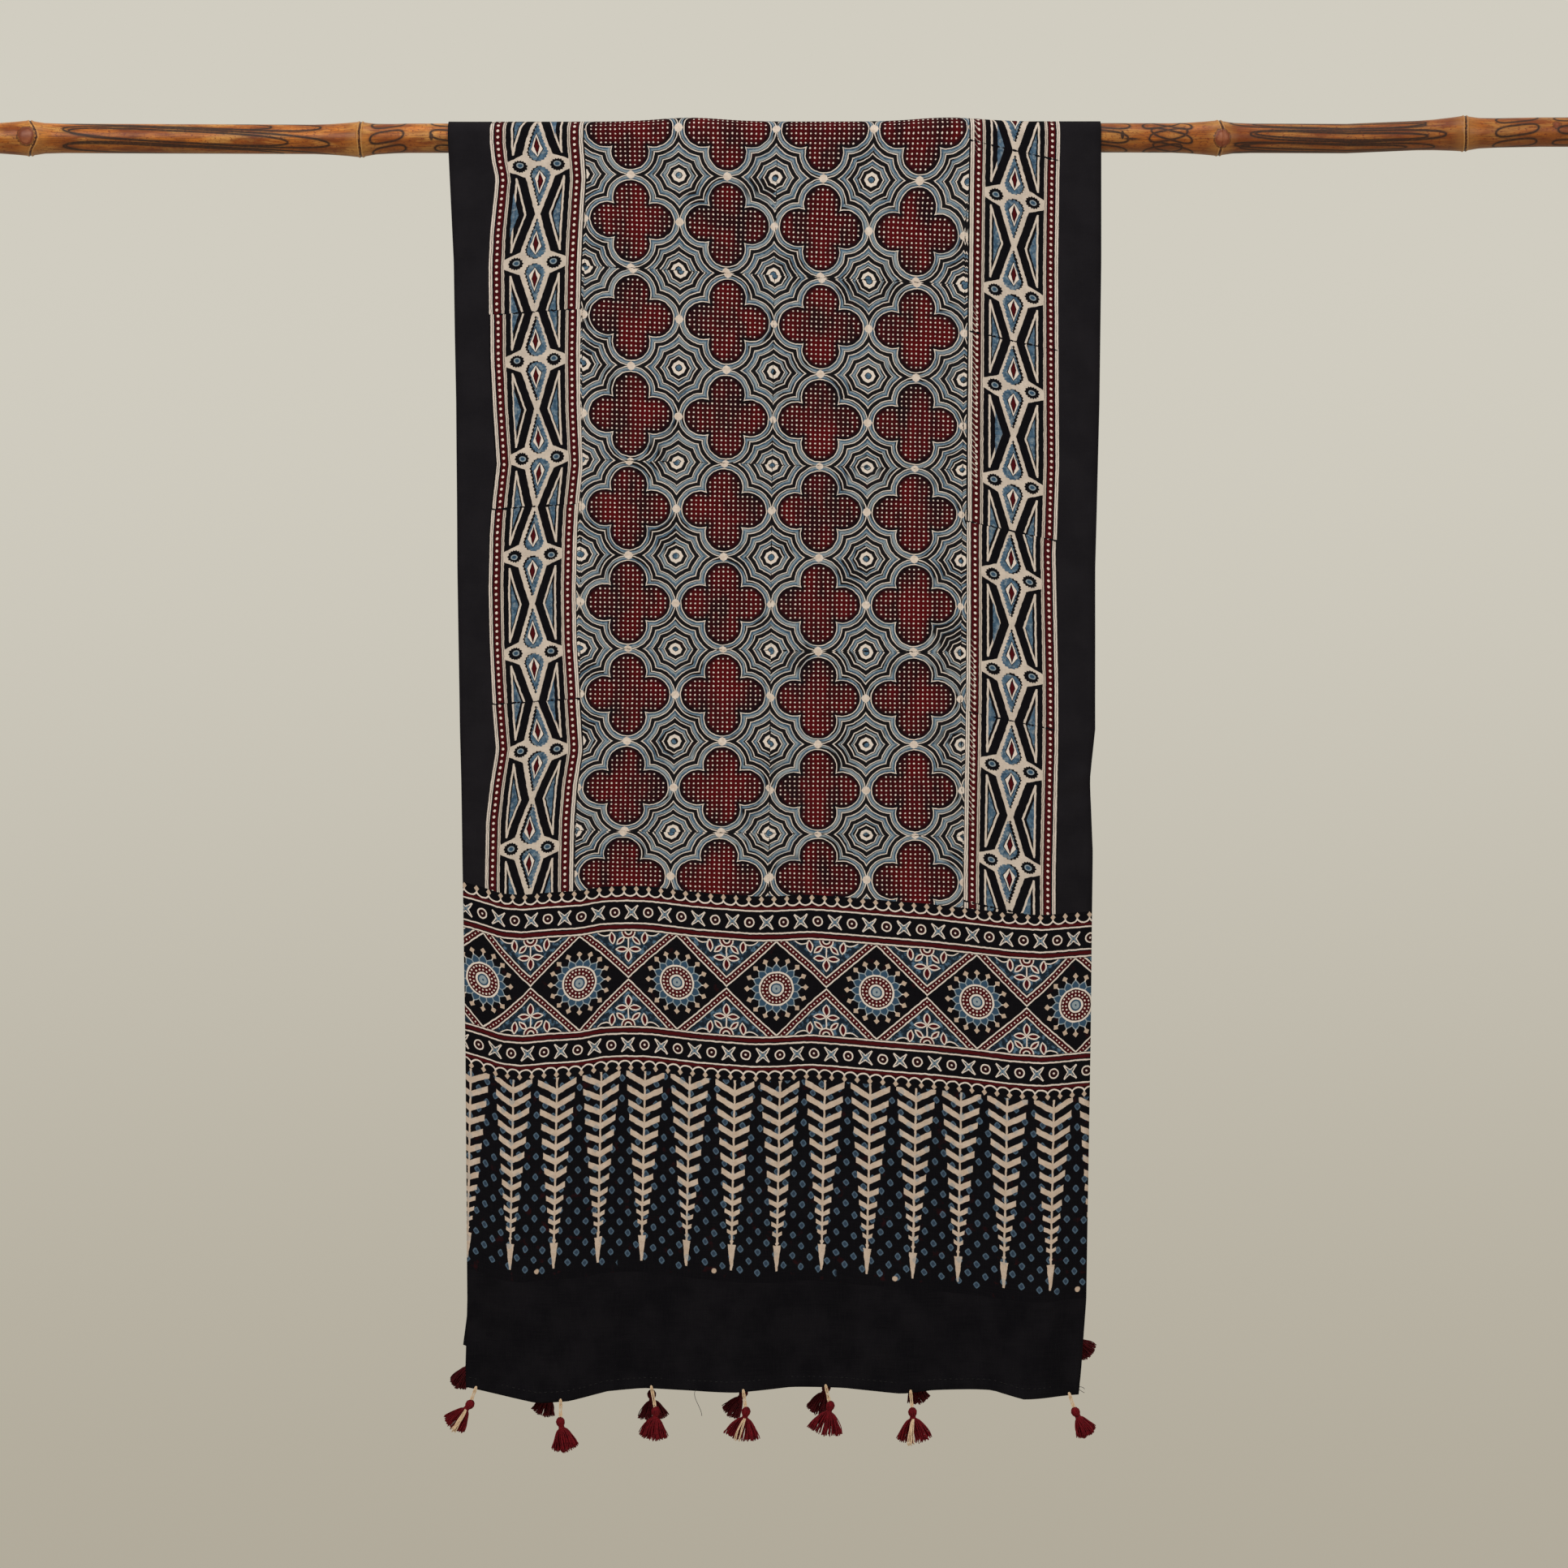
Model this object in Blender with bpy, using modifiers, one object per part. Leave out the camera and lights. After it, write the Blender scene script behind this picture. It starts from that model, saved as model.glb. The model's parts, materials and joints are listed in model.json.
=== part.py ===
"""Ajrakh stole hung over a bamboo pole.

One long block-printed stole lies over a round bamboo pole, with one end in front and the other
behind. Each end carries a row of small yarn tassels on thread loops. X runs along the pole, Y away
from the viewer and Z up. The origin is on the pole's axis, where the pole is held.
"""

import math
from collections import namedtuple

import bmesh
import bpy
import numpy as np
from mathutils import Matrix, Vector

MM = 0.001

# Bamboo pole: a straight-cut length, swollen at its nodes and a little crooked
POLE_HALF_LENGTH = 680 * MM
POLE_RADIUS = 12.3 * MM
POLE_SIDES_RESOLUTION = 9
POLE_NODES = tuple(place * MM for place in (-639, -357, -79, 139, 368, 575))
NodeStep = namedtuple("NodeStep", "offset swell")
NODE_PROFILE = (
    NodeStep(-40 * MM, 0.0),
    NodeStep(-11 * MM, 1.5 * MM),
    NodeStep(-2 * MM, 2.4 * MM),
    NodeStep(-1 * MM, 3.1 * MM),
    NodeStep(1 * MM, 3.1 * MM),
    NodeStep(3 * MM, 1.7 * MM),
    NodeStep(12 * MM, 0.4 * MM),
    NodeStep(28 * MM, 0.0),
)
Crook = namedtuple("Crook", "along rise")
POLE_CROOK = (
    Crook(-680 * MM, 0.0),
    Crook(-640 * MM, 0.0),
    Crook(-357 * MM, -1.1 * MM),
    Crook(-318 * MM, 0.0),
    Crook(281 * MM, 0.4 * MM),
    Crook(475 * MM, -0.3 * MM),
    Crook(575 * MM, 4.0 * MM),
    Crook(640 * MM, 5.2 * MM),
    Crook(680 * MM, 5.2 * MM),
)

# Stole: one sheet, front hem to back hem, over the pole
SHEET_THICKNESS = 1.0 * MM
SHEET_COLUMNS = 31
POLE_CLEARANCE = 0.5 * MM
NODE_COVER_HEIGHT = 3.2 * MM
NODE_COVER_REACH = 38 * MM
ARC_STEPS = 10
HANG_OFFSET = 13.4 * MM
HANG_SETTLES_BY = 160 * MM
FOLDS_START = 20 * MM
FOLDS_FULL = 950 * MM
ROW_FRACTIONS = (1.0, 0.985, 0.955, 0.91, 0.84, 0.76, 0.67, 0.58, 0.52, 0.46, 0.36, 0.24, 0.12, 0.04)

Section = namedtuple("Section", "drop left right")
FRONT_SECTIONS = (
    Section(0 * MM, -283 * MM, 267 * MM),
    Section(106 * MM, -278 * MM, 267 * MM),
    Section(225 * MM, -276 * MM, 265.5 * MM),
    Section(364 * MM, -275 * MM, 262 * MM),
    Section(500 * MM, -273 * MM, 262 * MM),
    Section(541 * MM, -272 * MM, 257.5 * MM),
    Section(603 * MM, -271 * MM, 260 * MM),
    Section(774 * MM, -268.5 * MM, 258 * MM),
    Section(980 * MM, -267 * MM, 254.5 * MM),
    Section(1035 * MM, -268.5 * MM, 250.5 * MM),
    Section(1060 * MM, -268 * MM, 248 * MM),
)
BACK_SECTIONS = (
    Section(0 * MM, -283 * MM, 267 * MM),
    Section(120 * MM, -277 * MM, 266 * MM),
    Section(400 * MM, -271 * MM, 260 * MM),
    Section(800 * MM, -265 * MM, 254 * MM),
    Section(970 * MM, -266 * MM, 250 * MM),
    Section(1025 * MM, -273 * MM, 249 * MM),
)

# Each hem's height below the pole, across the cloth from left (0) to right (1)
HemPoint = namedtuple("HemPoint", "across drop")
FRONT_HEM = (
    HemPoint(0.0, 1054 * MM),
    HemPoint(0.04, 1058 * MM),
    HemPoint(0.12, 1065.5 * MM),
    HemPoint(0.17, 1064 * MM),
    HemPoint(0.23, 1057 * MM),
    HemPoint(0.29, 1055 * MM),
    HemPoint(0.44, 1057.5 * MM),
    HemPoint(0.53, 1054 * MM),
    HemPoint(0.62, 1054.5 * MM),
    HemPoint(0.71, 1058 * MM),
    HemPoint(0.76, 1056 * MM),
    HemPoint(0.86, 1056 * MM),
    HemPoint(0.91, 1062.5 * MM),
    HemPoint(1.0, 1060 * MM),
)
BACK_HEM = (
    HemPoint(0.0, 1022 * MM),
    HemPoint(0.14, 1049 * MM),
    HemPoint(0.3, 1050 * MM),
    HemPoint(0.45, 1050 * MM),
    HemPoint(0.59, 1046 * MM),
    HemPoint(0.73, 1039 * MM),
    HemPoint(0.87, 1019 * MM),
    HemPoint(1.0, 1004 * MM),
)

# Soft folds down each drop, as the depth by which a ridge stands out of the cloth's plane at the hem
Fold = namedtuple("Fold", "across depth")
FRONT_FOLDS = (
    Fold(0.0, -6 * MM),
    Fold(0.12, 9 * MM),
    Fold(0.29, -6 * MM),
    Fold(0.44, 4 * MM),
    Fold(0.56, -6 * MM),
    Fold(0.71, 5 * MM),
    Fold(0.81, -5 * MM),
    Fold(0.92, 10 * MM),
    Fold(1.0, -3 * MM),
)
BACK_FOLDS = (
    Fold(0.0, 5 * MM),
    Fold(0.14, -7 * MM),
    Fold(0.32, 8 * MM),
    Fold(0.5, -5 * MM),
    Fold(0.68, 7 * MM),
    Fold(0.84, -6 * MM),
    Fold(1.0, 6 * MM),
)

# Tassels: a wound head over a skirt of yarn locks, each on a loop of thread through the hem
SEAT_GAP = 0.5 * MM
THREAD_RADIUS = 0.5 * MM
LOOP_HALF_WIDTH = 1.1 * MM
LOOP_POINTS = 8
HEAD_RADIUS = 4.0 * MM
HEAD_SEGMENTS = 8
HEAD_RINGS = 6
LOCK_STEPS = 2
LOCK_PARTING = 0.2 * MM
OUTER_TIP_SCALE = 1.3
INNER_TIP_SCALE = 0.9
INNER_LOCK_SPREAD = 0.5
SKIRT_DEPTH_RATIO = 0.6
SKIRT_ROUNDING = 0.14
LOCK_UNEVENNESS = 0.07

Tassel = namedtuple("Tassel", "side hem_x head_shift head_drop lean length half_width")
TASSELS = (
    Tassel("front", -260 * MM, -4.8 * MM, 13 * MM, -39, 25.5 * MM, 10.5 * MM),
    Tassel("front", -187.5 * MM, -0.3 * MM, 17 * MM, 12, 25 * MM, 11.5 * MM),
    Tassel("front", -111.5 * MM, 3.4 * MM, 19.5 * MM, -7, 24 * MM, 12.5 * MM),
    Tassel("front", -34 * MM, 2 * MM, 16.5 * MM, -11, 24 * MM, 15.5 * MM),
    Tassel("front", 35.5 * MM, 3.4 * MM, 15.7 * MM, -13, 24.5 * MM, 16 * MM),
    Tassel("front", 106.5 * MM, 1.4 * MM, 16.4 * MM, 4, 25.5 * MM, 15.5 * MM),
    Tassel("front", 240.5 * MM, 4.8 * MM, 14.3 * MM, 28, 23 * MM, 9 * MM),
    Tassel("back", -265.5 * MM, -0.7 * MM, 12.5 * MM, -31, 24.5 * MM, 8.5 * MM),
    Tassel("back", -197.5 * MM, -0.7 * MM, 11 * MM, -19, 21.5 * MM, 10 * MM),
    Tassel("back", -112 * MM, -0.7 * MM, 15 * MM, 4, 22 * MM, 13 * MM),
    Tassel("back", -34 * MM, -0.3 * MM, 12.3 * MM, -34, 23 * MM, 9 * MM),
    Tassel("back", 35.5 * MM, 0.3 * MM, 12.3 * MM, -20, 24 * MM, 11 * MM),
    Tassel("back", 110 * MM, -0.7 * MM, 12.3 * MM, 16, 22 * MM, 10 * MM),
    Tassel("back", 181.5 * MM, 0.3 * MM, 12.3 * MM, 2, 24.5 * MM, 8 * MM),
    Tassel("back", 243 * MM, 2 * MM, 11 * MM, 45, 22 * MM, 10 * MM),
)

Finish = namedtuple("Finish", "colour roughness")
BAMBOO = Finish((0.42, 0.19, 0.06, 1.0), 0.35)
PRINTED_COTTON = Finish((0.02, 0.018, 0.02, 1.0), 0.8)
RED_YARN = Finish((0.09, 0.006, 0.012, 1.0), 0.7)
CREAM_THREAD = Finish((0.72, 0.56, 0.38, 1.0), 0.75)


def clear_scene():
    for item in list(bpy.data.objects):
        bpy.data.objects.remove(item, do_unlink=True)


def make_collection(name):
    group = bpy.data.collections.new(name)
    bpy.context.scene.collection.children.link(group)
    return group


def make_material(name, finish):
    material = bpy.data.materials.new(name)
    material.use_nodes = True
    shader = material.node_tree.nodes["Principled BSDF"]
    shader.inputs["Base Color"].default_value = finish.colour
    shader.inputs["Roughness"].default_value = finish.roughness
    shader.inputs["Metallic"].default_value = 0.0
    return material


def column(table, name):
    """One named column of a table, as an array."""
    return np.array([getattr(row, name) for row in table])


def linear(table, key, name, where):
    """A table's column read off at places between its rows, in straight runs."""
    return np.interp(where, column(table, key), column(table, name))


def eased(table, key, name, where):
    """A table's column read off with level tops and bottoms, as soft folds have."""
    keys = column(table, key)
    values = column(table, name)
    start = np.clip(np.searchsorted(keys, where, side="right") - 1, 0, len(keys) - 2)
    share = np.clip((where - keys[start]) / (keys[start + 1] - keys[start]), 0.0, 1.0)
    return values[start] + (values[start + 1] - values[start]) * (1 - np.cos(math.pi * share)) / 2


def smooth_step(low, high, where):
    share = np.clip((where - low) / (high - low), 0.0, 1.0)
    return share * share * (3 - 2 * share)


def pole_rise(along):
    """Height of the pole's axis, which bends a little at its nodes."""
    return linear(POLE_CROOK, "along", "rise", along)


def pole_stations():
    """Places along the pole where its girth or its bend changes."""
    places = {crook.along for crook in POLE_CROOK}
    for node in POLE_NODES:
        places.update(node + step.offset for step in NODE_PROFILE)
    return sorted(place for place in places if abs(place) <= POLE_HALF_LENGTH)


def pole_radius(along):
    swells = [linear(NODE_PROFILE, "offset", "swell", along - node) for node in POLE_NODES]
    return POLE_RADIUS + float(max(swells))


def make_pole(group, material):
    """A tube along the pole's crooked axis, with a girth of its own at each station."""
    curve = bpy.data.curves.new("bamboo_pole", "CURVE")
    curve.dimensions = "3D"
    curve.bevel_depth = POLE_RADIUS
    curve.bevel_resolution = POLE_SIDES_RESOLUTION
    curve.use_fill_caps = True
    stations = pole_stations()
    spline = curve.splines.new("POLY")
    spline.points.add(len(stations) - 1)
    for point, along in zip(spline.points, stations):
        point.co = (along, 0.0, float(pole_rise(along)), 1.0)
        point.radius = pole_radius(along) / POLE_RADIUS
    curve.materials.append(material)
    pole = bpy.data.objects.new("bamboo_pole", curve)
    group.objects.link(pole)
    return pole


def drape_radius(along):
    """Radius at which the cloth's middle passes over the pole, raised over each hidden node."""
    over_nodes = sum(np.exp(-(((along - node) / NODE_COVER_REACH) ** 2)) for node in POLE_NODES)
    return POLE_RADIUS + POLE_CLEARANCE + SHEET_THICKNESS / 2 + NODE_COVER_HEIGHT * over_nodes


def drop_row(across, fraction, sections, hem, folds, side):
    """One row of a hanging drop; side is -1 in front of the pole and 1 behind it."""
    drop = fraction * linear(hem, "across", "drop", across)
    left = linear(sections, "drop", "left", drop)
    right = linear(sections, "drop", "right", drop)
    x = left + across * (right - left)
    settled = smooth_step(0.0, HANG_SETTLES_BY, drop)
    offset = drape_radius(x) * (1 - settled) + HANG_OFFSET * settled
    fold = eased(folds, "across", "depth", across) * smooth_step(FOLDS_START, FOLDS_FULL, drop)
    return np.stack([x, side * (offset + fold), pole_rise(x) - drop], axis=1)


def arc_row(across, angle):
    """One row over the pole; the angle runs from its front face, over its top, to its back face."""
    x = FRONT_SECTIONS[0].left + across * (FRONT_SECTIONS[0].right - FRONT_SECTIONS[0].left)
    radius = drape_radius(x)
    return np.stack([x, -radius * math.cos(angle), pole_rise(x) + radius * math.sin(angle)], axis=1)


def sheet_rows():
    """Rows of points from the front hem up, over the pole and down to the back hem."""
    across = np.linspace(0.0, 1.0, SHEET_COLUMNS)
    front = [drop_row(across, f, FRONT_SECTIONS, FRONT_HEM, FRONT_FOLDS, -1) for f in ROW_FRACTIONS]
    over = [arc_row(across, math.pi * step / ARC_STEPS) for step in range(ARC_STEPS + 1)]
    back = [drop_row(across, f, BACK_SECTIONS, BACK_HEM, BACK_FOLDS, 1) for f in ROW_FRACTIONS]
    return np.array(front + over + back[::-1])


def make_stole(group, material, rows):
    """An open sheet through the rows, given its thickness by Solidify."""
    row_count, column_count = rows.shape[:2]
    corner = np.arange((row_count - 1) * column_count).reshape(row_count - 1, column_count)[:, :-1]
    corner = corner.ravel()
    faces = np.stack([corner, corner + 1, corner + column_count + 1, corner + column_count], axis=1)
    mesh = bpy.data.meshes.new("ajrakh_stole")
    mesh.from_pydata(rows.reshape(-1, 3).tolist(), [], faces.tolist())
    mesh.materials.append(material)
    mesh.shade_smooth()
    stole = bpy.data.objects.new("ajrakh_stole", mesh)
    group.objects.link(stole)
    thickness = stole.modifiers.new("cloth thickness", "SOLIDIFY")
    thickness.thickness = SHEET_THICKNESS
    thickness.offset = 0.0
    return stole


def hem_point(rows, tassel):
    """The place on the tassel's hem from which it hangs."""
    hem = rows[0] if tassel.side == "front" else rows[-1]
    y = float(np.interp(tassel.hem_x, hem[:, 0], hem[:, 1]))
    z = float(np.interp(tassel.hem_x, hem[:, 0], hem[:, 2]))
    return Vector((tassel.hem_x, y, z))


def lock_path(root, tassel, outer, turn):
    """Centres of one lock from its root to its tip, before the tassel leans.

    The tip lies on an ellipse that is the skirt's width in X and flatter in Y. The lock leaves the
    head near its axis and opens out with the square of the way down.
    """
    spread = tassel.half_width * (1.0 if outer else INNER_LOCK_SPREAD)
    reach = tassel.length * (1 - SKIRT_ROUNDING * (1.0 if outer else 0.0) * abs(math.cos(turn)))
    reach *= 1 + LOCK_UNEVENNESS * math.sin(5 * turn + 40 * tassel.hem_x / HEAD_RADIUS)
    tip = Vector((spread * math.cos(turn), spread * SKIRT_DEPTH_RATIO * math.sin(turn), -reach))
    path = []
    for step in range(1, LOCK_STEPS + 1):
        share = step / LOCK_STEPS
        opening = share * (0.7 + 0.3 * share)
        path.append(
            Vector(
                (
                    root.x + (tip.x - root.x) * opening,
                    root.y + (tip.y - root.y) * opening,
                    root.z + (tip.z - root.z) * share,
                )
            )
        )
    return path


def grow_lock(mesh, face, path, tip_scale):
    """Extrudes one face of the head along a path, as a lock of yarn."""
    root = face.calc_center_median()
    section = [vertex.co - root for vertex in face.verts]
    for step, centre in enumerate(path, start=1):
        face = bmesh.ops.extrude_discrete_faces(mesh, faces=[face])["faces"][0]
        scale = 1 + (tip_scale - 1) * step / len(path)
        for vertex, offset in zip(face.verts, section):
            vertex.co = centre + offset * scale


def make_tassel(group, material, rows, tassel, name):
    """A round head whose lower faces each grow a lock, leant about the head's centre."""
    mesh = bmesh.new()
    bmesh.ops.create_uvsphere(
        mesh, u_segments=HEAD_SEGMENTS, v_segments=HEAD_RINGS, radius=HEAD_RADIUS
    )
    roots = [face for face in mesh.faces if face.calc_center_median().z < -HEAD_RADIUS * 0.6]
    bmesh.ops.inset_individual(mesh, faces=roots, thickness=LOCK_PARTING)
    for face in roots:
        centre = face.calc_center_median()
        outer = centre.z > -HEAD_RADIUS * 0.85
        turn = math.atan2(centre.y, centre.x)
        path = lock_path(centre, tassel, outer, turn)
        grow_lock(mesh, face, path, OUTER_TIP_SCALE if outer else INNER_TIP_SCALE)
    lean = Matrix.Rotation(math.radians(-tassel.lean), 4, "Y")
    bmesh.ops.transform(mesh, matrix=lean, verts=mesh.verts)
    bmesh.ops.recalc_face_normals(mesh, faces=mesh.faces)
    data = bpy.data.meshes.new(name)
    mesh.to_mesh(data)
    mesh.free()
    data.materials.append(material)
    item = bpy.data.objects.new(name, data)
    item.location = head_centre(rows, tassel)
    group.objects.link(item)
    return item


def head_centre(rows, tassel):
    return hem_point(rows, tassel) + Vector((tassel.head_shift, 0.0, -tassel.head_drop))


def make_loop(group, material, rows, tassel, name):
    """A long closed loop of thread between the hem and the tassel's head."""
    hem = hem_point(rows, tassel)
    head = head_centre(rows, tassel)
    up = (hem - head).normalized()
    top = hem - up * (SEAT_GAP + THREAD_RADIUS)
    bottom = head + up * (HEAD_RADIUS + SEAT_GAP + THREAD_RADIUS)
    middle = (top + bottom) / 2
    half_height = (top - bottom).length / 2
    aside = up.cross(Vector((0.0, 1.0, 0.0)))
    curve = bpy.data.curves.new(name, "CURVE")
    curve.dimensions = "3D"
    curve.bevel_depth = THREAD_RADIUS
    curve.bevel_resolution = 0
    spline = curve.splines.new("POLY")
    spline.points.add(LOOP_POINTS - 1)
    spline.use_cyclic_u = True
    for index, point in enumerate(spline.points):
        turn = 2 * math.pi * (index + 0.5) / LOOP_POINTS
        height = half_height * math.copysign(abs(math.cos(turn)) ** 0.35, math.cos(turn))
        place = middle + aside * (LOOP_HALF_WIDTH * math.sin(turn)) + up * height
        point.co = (*place, 1.0)
    curve.materials.append(material)
    loop = bpy.data.objects.new(name, curve)
    group.objects.link(loop)
    return loop


def make_tassels(group, yarn, thread, rows):
    counts = {"front": 0, "back": 0}
    for tassel in TASSELS:
        counts[tassel.side] += 1
        label = f"{tassel.side}_{counts[tassel.side]}"
        make_tassel(group, yarn, rows, tassel, f"tassel_{label}")
        make_loop(group, thread, rows, tassel, f"loop_{label}")


def main():
    clear_scene()
    group = make_collection("ajrakh_stole_on_bamboo_pole")
    rows = sheet_rows()
    make_pole(group, make_material("bamboo", BAMBOO))
    make_stole(group, make_material("printed cotton", PRINTED_COTTON), rows)
    make_tassels(group, make_material("red yarn", RED_YARN), make_material("cream thread", CREAM_THREAD), rows)


main()
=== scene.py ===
"""An ajrakh stole hung over a bamboo pole, dressed for its picture.

The stole is block-printed cotton in black, madder red and indigo on cream. It lies over a pole of
scorched bamboo, one end in front and the other behind, and each end carries a row of small yarn
tassels. X runs along the pole, Y away from the viewer and Z up, from the pole's axis. Lengths in the
prints are in millimetres of cloth, and colours are given as the eye sees them, from 0 to 255.
"""

import json
import math
from collections import namedtuple

import bpy
import numpy as np
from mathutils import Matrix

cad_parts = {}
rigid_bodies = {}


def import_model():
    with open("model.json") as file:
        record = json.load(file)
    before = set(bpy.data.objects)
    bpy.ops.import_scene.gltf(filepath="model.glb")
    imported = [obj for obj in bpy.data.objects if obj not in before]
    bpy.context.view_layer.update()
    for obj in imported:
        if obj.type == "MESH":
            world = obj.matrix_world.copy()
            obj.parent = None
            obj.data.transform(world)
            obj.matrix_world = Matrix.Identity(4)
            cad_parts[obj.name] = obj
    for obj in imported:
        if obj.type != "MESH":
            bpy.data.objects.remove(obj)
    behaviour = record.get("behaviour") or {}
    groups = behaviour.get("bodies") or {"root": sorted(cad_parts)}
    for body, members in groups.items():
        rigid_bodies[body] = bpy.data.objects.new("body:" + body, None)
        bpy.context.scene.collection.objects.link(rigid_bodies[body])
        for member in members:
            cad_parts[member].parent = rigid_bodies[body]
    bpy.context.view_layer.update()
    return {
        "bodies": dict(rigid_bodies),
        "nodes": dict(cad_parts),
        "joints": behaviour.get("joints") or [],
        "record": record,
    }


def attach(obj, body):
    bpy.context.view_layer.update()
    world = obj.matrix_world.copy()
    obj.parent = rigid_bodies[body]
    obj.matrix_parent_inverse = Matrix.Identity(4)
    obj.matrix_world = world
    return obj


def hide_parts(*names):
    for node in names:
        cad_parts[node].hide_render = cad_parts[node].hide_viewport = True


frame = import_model()

MM = 0.001

# The bamboo pole
# A whole culm with its branches trimmed off, leaving a round scar beside a node here and there. It
# swells towards each node, where a thin ridge stands over a dark groove, and it bends a little there.
# Its skin is waxed, and long loops have been scorched into it with a hot iron.


def rows_of(kind, *rows):
    """A table: each row's values in the order of the columns that its kind names."""
    return tuple(kind._make(row) for row in rows)


POLE_HALF_LENGTH = 680
POLE_RADIUS = 12.3
CULM_WALL = 4.5
CULM_HOLLOW_DEPTH = 26
POLE_STATIONS = 640
POLE_SIDES = 60

Node = namedtuple("Node", "along lean")
RING_BEND = 10
POLE_NODES = rows_of(Node, (-637, 8), (-357, -0.6), (-79, 0.3), (139, 0), (367, 3), (575, -1.2))
NodeStep = namedtuple("NodeStep", "offset swell")
NODE_PROFILE = rows_of(NodeStep,
    (-40, 0.0), (-26, 0.5), (-11, 1.6), (-3, 2.4), (-1.4, 3.1), (-0.4, 2.3), (0.4, 2.3), (1.4, 3.0),
    (3, 1.9), (12, 0.5), (28, 0.0),
)
Crook = namedtuple("Crook", "along rise")
POLE_CROOK = rows_of(Crook,
    (-680, 0.0), (-640, 0.0), (-357, -1.1), (-318, 0.0), (281, 0.4), (475, -0.3), (575, 4.0),
    (640, 5.2), (680, 5.2),
)
Scar = namedtuple("Scar", "along around radius height")
BRANCH_SCARS = rows_of(Scar, (-638, 0.0, 7.5, 1.0), (369, -2.0, 7.0, 0.8), (651, 4.4, 3.6, 0.2))


def column(table, name):
    """One named column of a table, as an array."""
    return np.array([getattr(row, name) for row in table], dtype=float)


def read_off(table, key, name, where):
    """A table's column at places between its rows, in straight runs."""
    return np.interp(where, column(table, key), column(table, name))


def pole_rise(along):
    """Height of the pole's axis, which bends at its nodes."""
    return read_off(POLE_CROOK, "along", "rise", along)


def pole_radius(along, around):
    """The culm's radius: its plain girth, the largest swell of any node there, whose ring leans
    forward in a low curve round the front, and a low dome over each branch scar."""
    swell = np.zeros(np.broadcast(along, around).shape)
    for node in POLE_NODES:
        ring = node.along + node.lean * np.exp(-((around / RING_BEND) ** 2))
        swell = np.maximum(swell, read_off(NODE_PROFILE, "offset", "swell", along - ring))
    for scar in BRANCH_SCARS:
        reach = np.hypot(along - scar.along, around - scar.around) / scar.radius
        rim = 0.5 * np.exp(-(((reach - 1.05) / 0.12) ** 2))
        swell = swell + scar.height * np.clip(1 - reach**4, 0, 1) - rim
    return POLE_RADIUS + swell


def grid_faces(rows, columns, wrap=False):
    """The quads of a grid of points, row by row; wrap joins its last column to its first."""
    row = np.arange(rows - 1)[:, None] * columns
    start = np.arange(columns if wrap else columns - 1)
    end = (start + 1) % columns
    corners = (row + start, row + end, row + columns + end, row + columns + start)
    return np.stack(corners, axis=-1).reshape(-1, 4)


def shaped(name, points, faces, materials, smooth=True):
    """A mesh object from points in millimetres and arrays of quads or triangles."""
    mesh = bpy.data.meshes.new(name)
    faces = [faces] if isinstance(faces, np.ndarray) else faces
    face_list = [face for block in faces for face in block.tolist()]
    mesh.from_pydata((points.reshape(-1, 3) * MM).tolist(), [], face_list)
    for material in materials:
        mesh.materials.append(material)
    mesh.polygons.foreach_set("use_smooth", np.full(len(mesh.polygons), smooth))
    piece = bpy.data.objects.new(name, mesh)
    bpy.context.scene.collection.objects.link(piece)
    return piece


def give_map(piece, values):
    """Gives the piece a map named print, from one (across, down) pair for each corner of a face."""
    layer = piece.data.uv_layers.new(name="print")
    layer.uv.foreach_set("vector", np.asarray(values, dtype=np.float32).ravel())


def corner_vertices(piece):
    """The vertex at each corner of each face, in the mesh's own order."""
    corners = np.empty(len(piece.data.loops), dtype=np.int32)
    piece.data.loops.foreach_get("vertex_index", corners)
    return corners


def feed(socket, value):
    """Gives a node's input a reading, another node's output or a plain value."""
    value = getattr(value, "socket", value)
    if isinstance(value, bpy.types.NodeSocket):
        socket.id_data.links.new(value, socket)
    else:
        socket.default_value = value


class Reading:
    """A number that a material works out at each point of a surface. Sums, products and distances
    of readings are Math nodes, so a pattern is written down as its formula."""

    def __init__(self, socket):
        self.socket = socket

    def worked(self, operation, *others, clamp=False):
        """One Math node, whose terms are this reading and any others."""
        node = self.socket.node.id_data.nodes.new("ShaderNodeMath")
        node.operation = operation
        node.use_clamp = clamp
        for socket, term in zip(node.inputs, (self, *others)):
            feed(socket, term)
        return Reading(node.outputs[0])

    def __add__(self, other):
        return self.worked("ADD", other)

    def __sub__(self, other):
        return self.worked("SUBTRACT", other)

    def __rsub__(self, other):
        return self.worked("MULTIPLY_ADD", -1.0, other)

    def __mul__(self, other):
        return self.worked("MULTIPLY", other)

    def __truediv__(self, other):
        return self.worked("DIVIDE", other)

    def __abs__(self):
        return self.worked("ABSOLUTE")

    __radd__ = __add__
    __rmul__ = __mul__

    def least(self, other):
        return self.worked("MINIMUM", other)

    def most(self, other):
        return self.worked("MAXIMUM", other)

    def below(self):
        """The whole number below."""
        return self.worked("FLOOR")

    def nearest(self, pitch):
        """How far it is from the nearest whole number of pitches."""
        return self.worked("PINGPONG", pitch / 2)

    def length(self, other):
        """The length of the line whose two legs are this and the other."""
        return (other * other).worked("ADD", self * self).worked("SQRT")

    def turn(self, other):
        """The angle whose tangent is this over the other."""
        return self.worked("ARCTAN2", other)

    def inside(self, soft=0.3):
        """1 where a distance is below 0, 0 where it is above, with an edge as wide as soft."""
        return self.worked("MULTIPLY_ADD", -1 / soft, 0.5, clamp=True)


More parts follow.
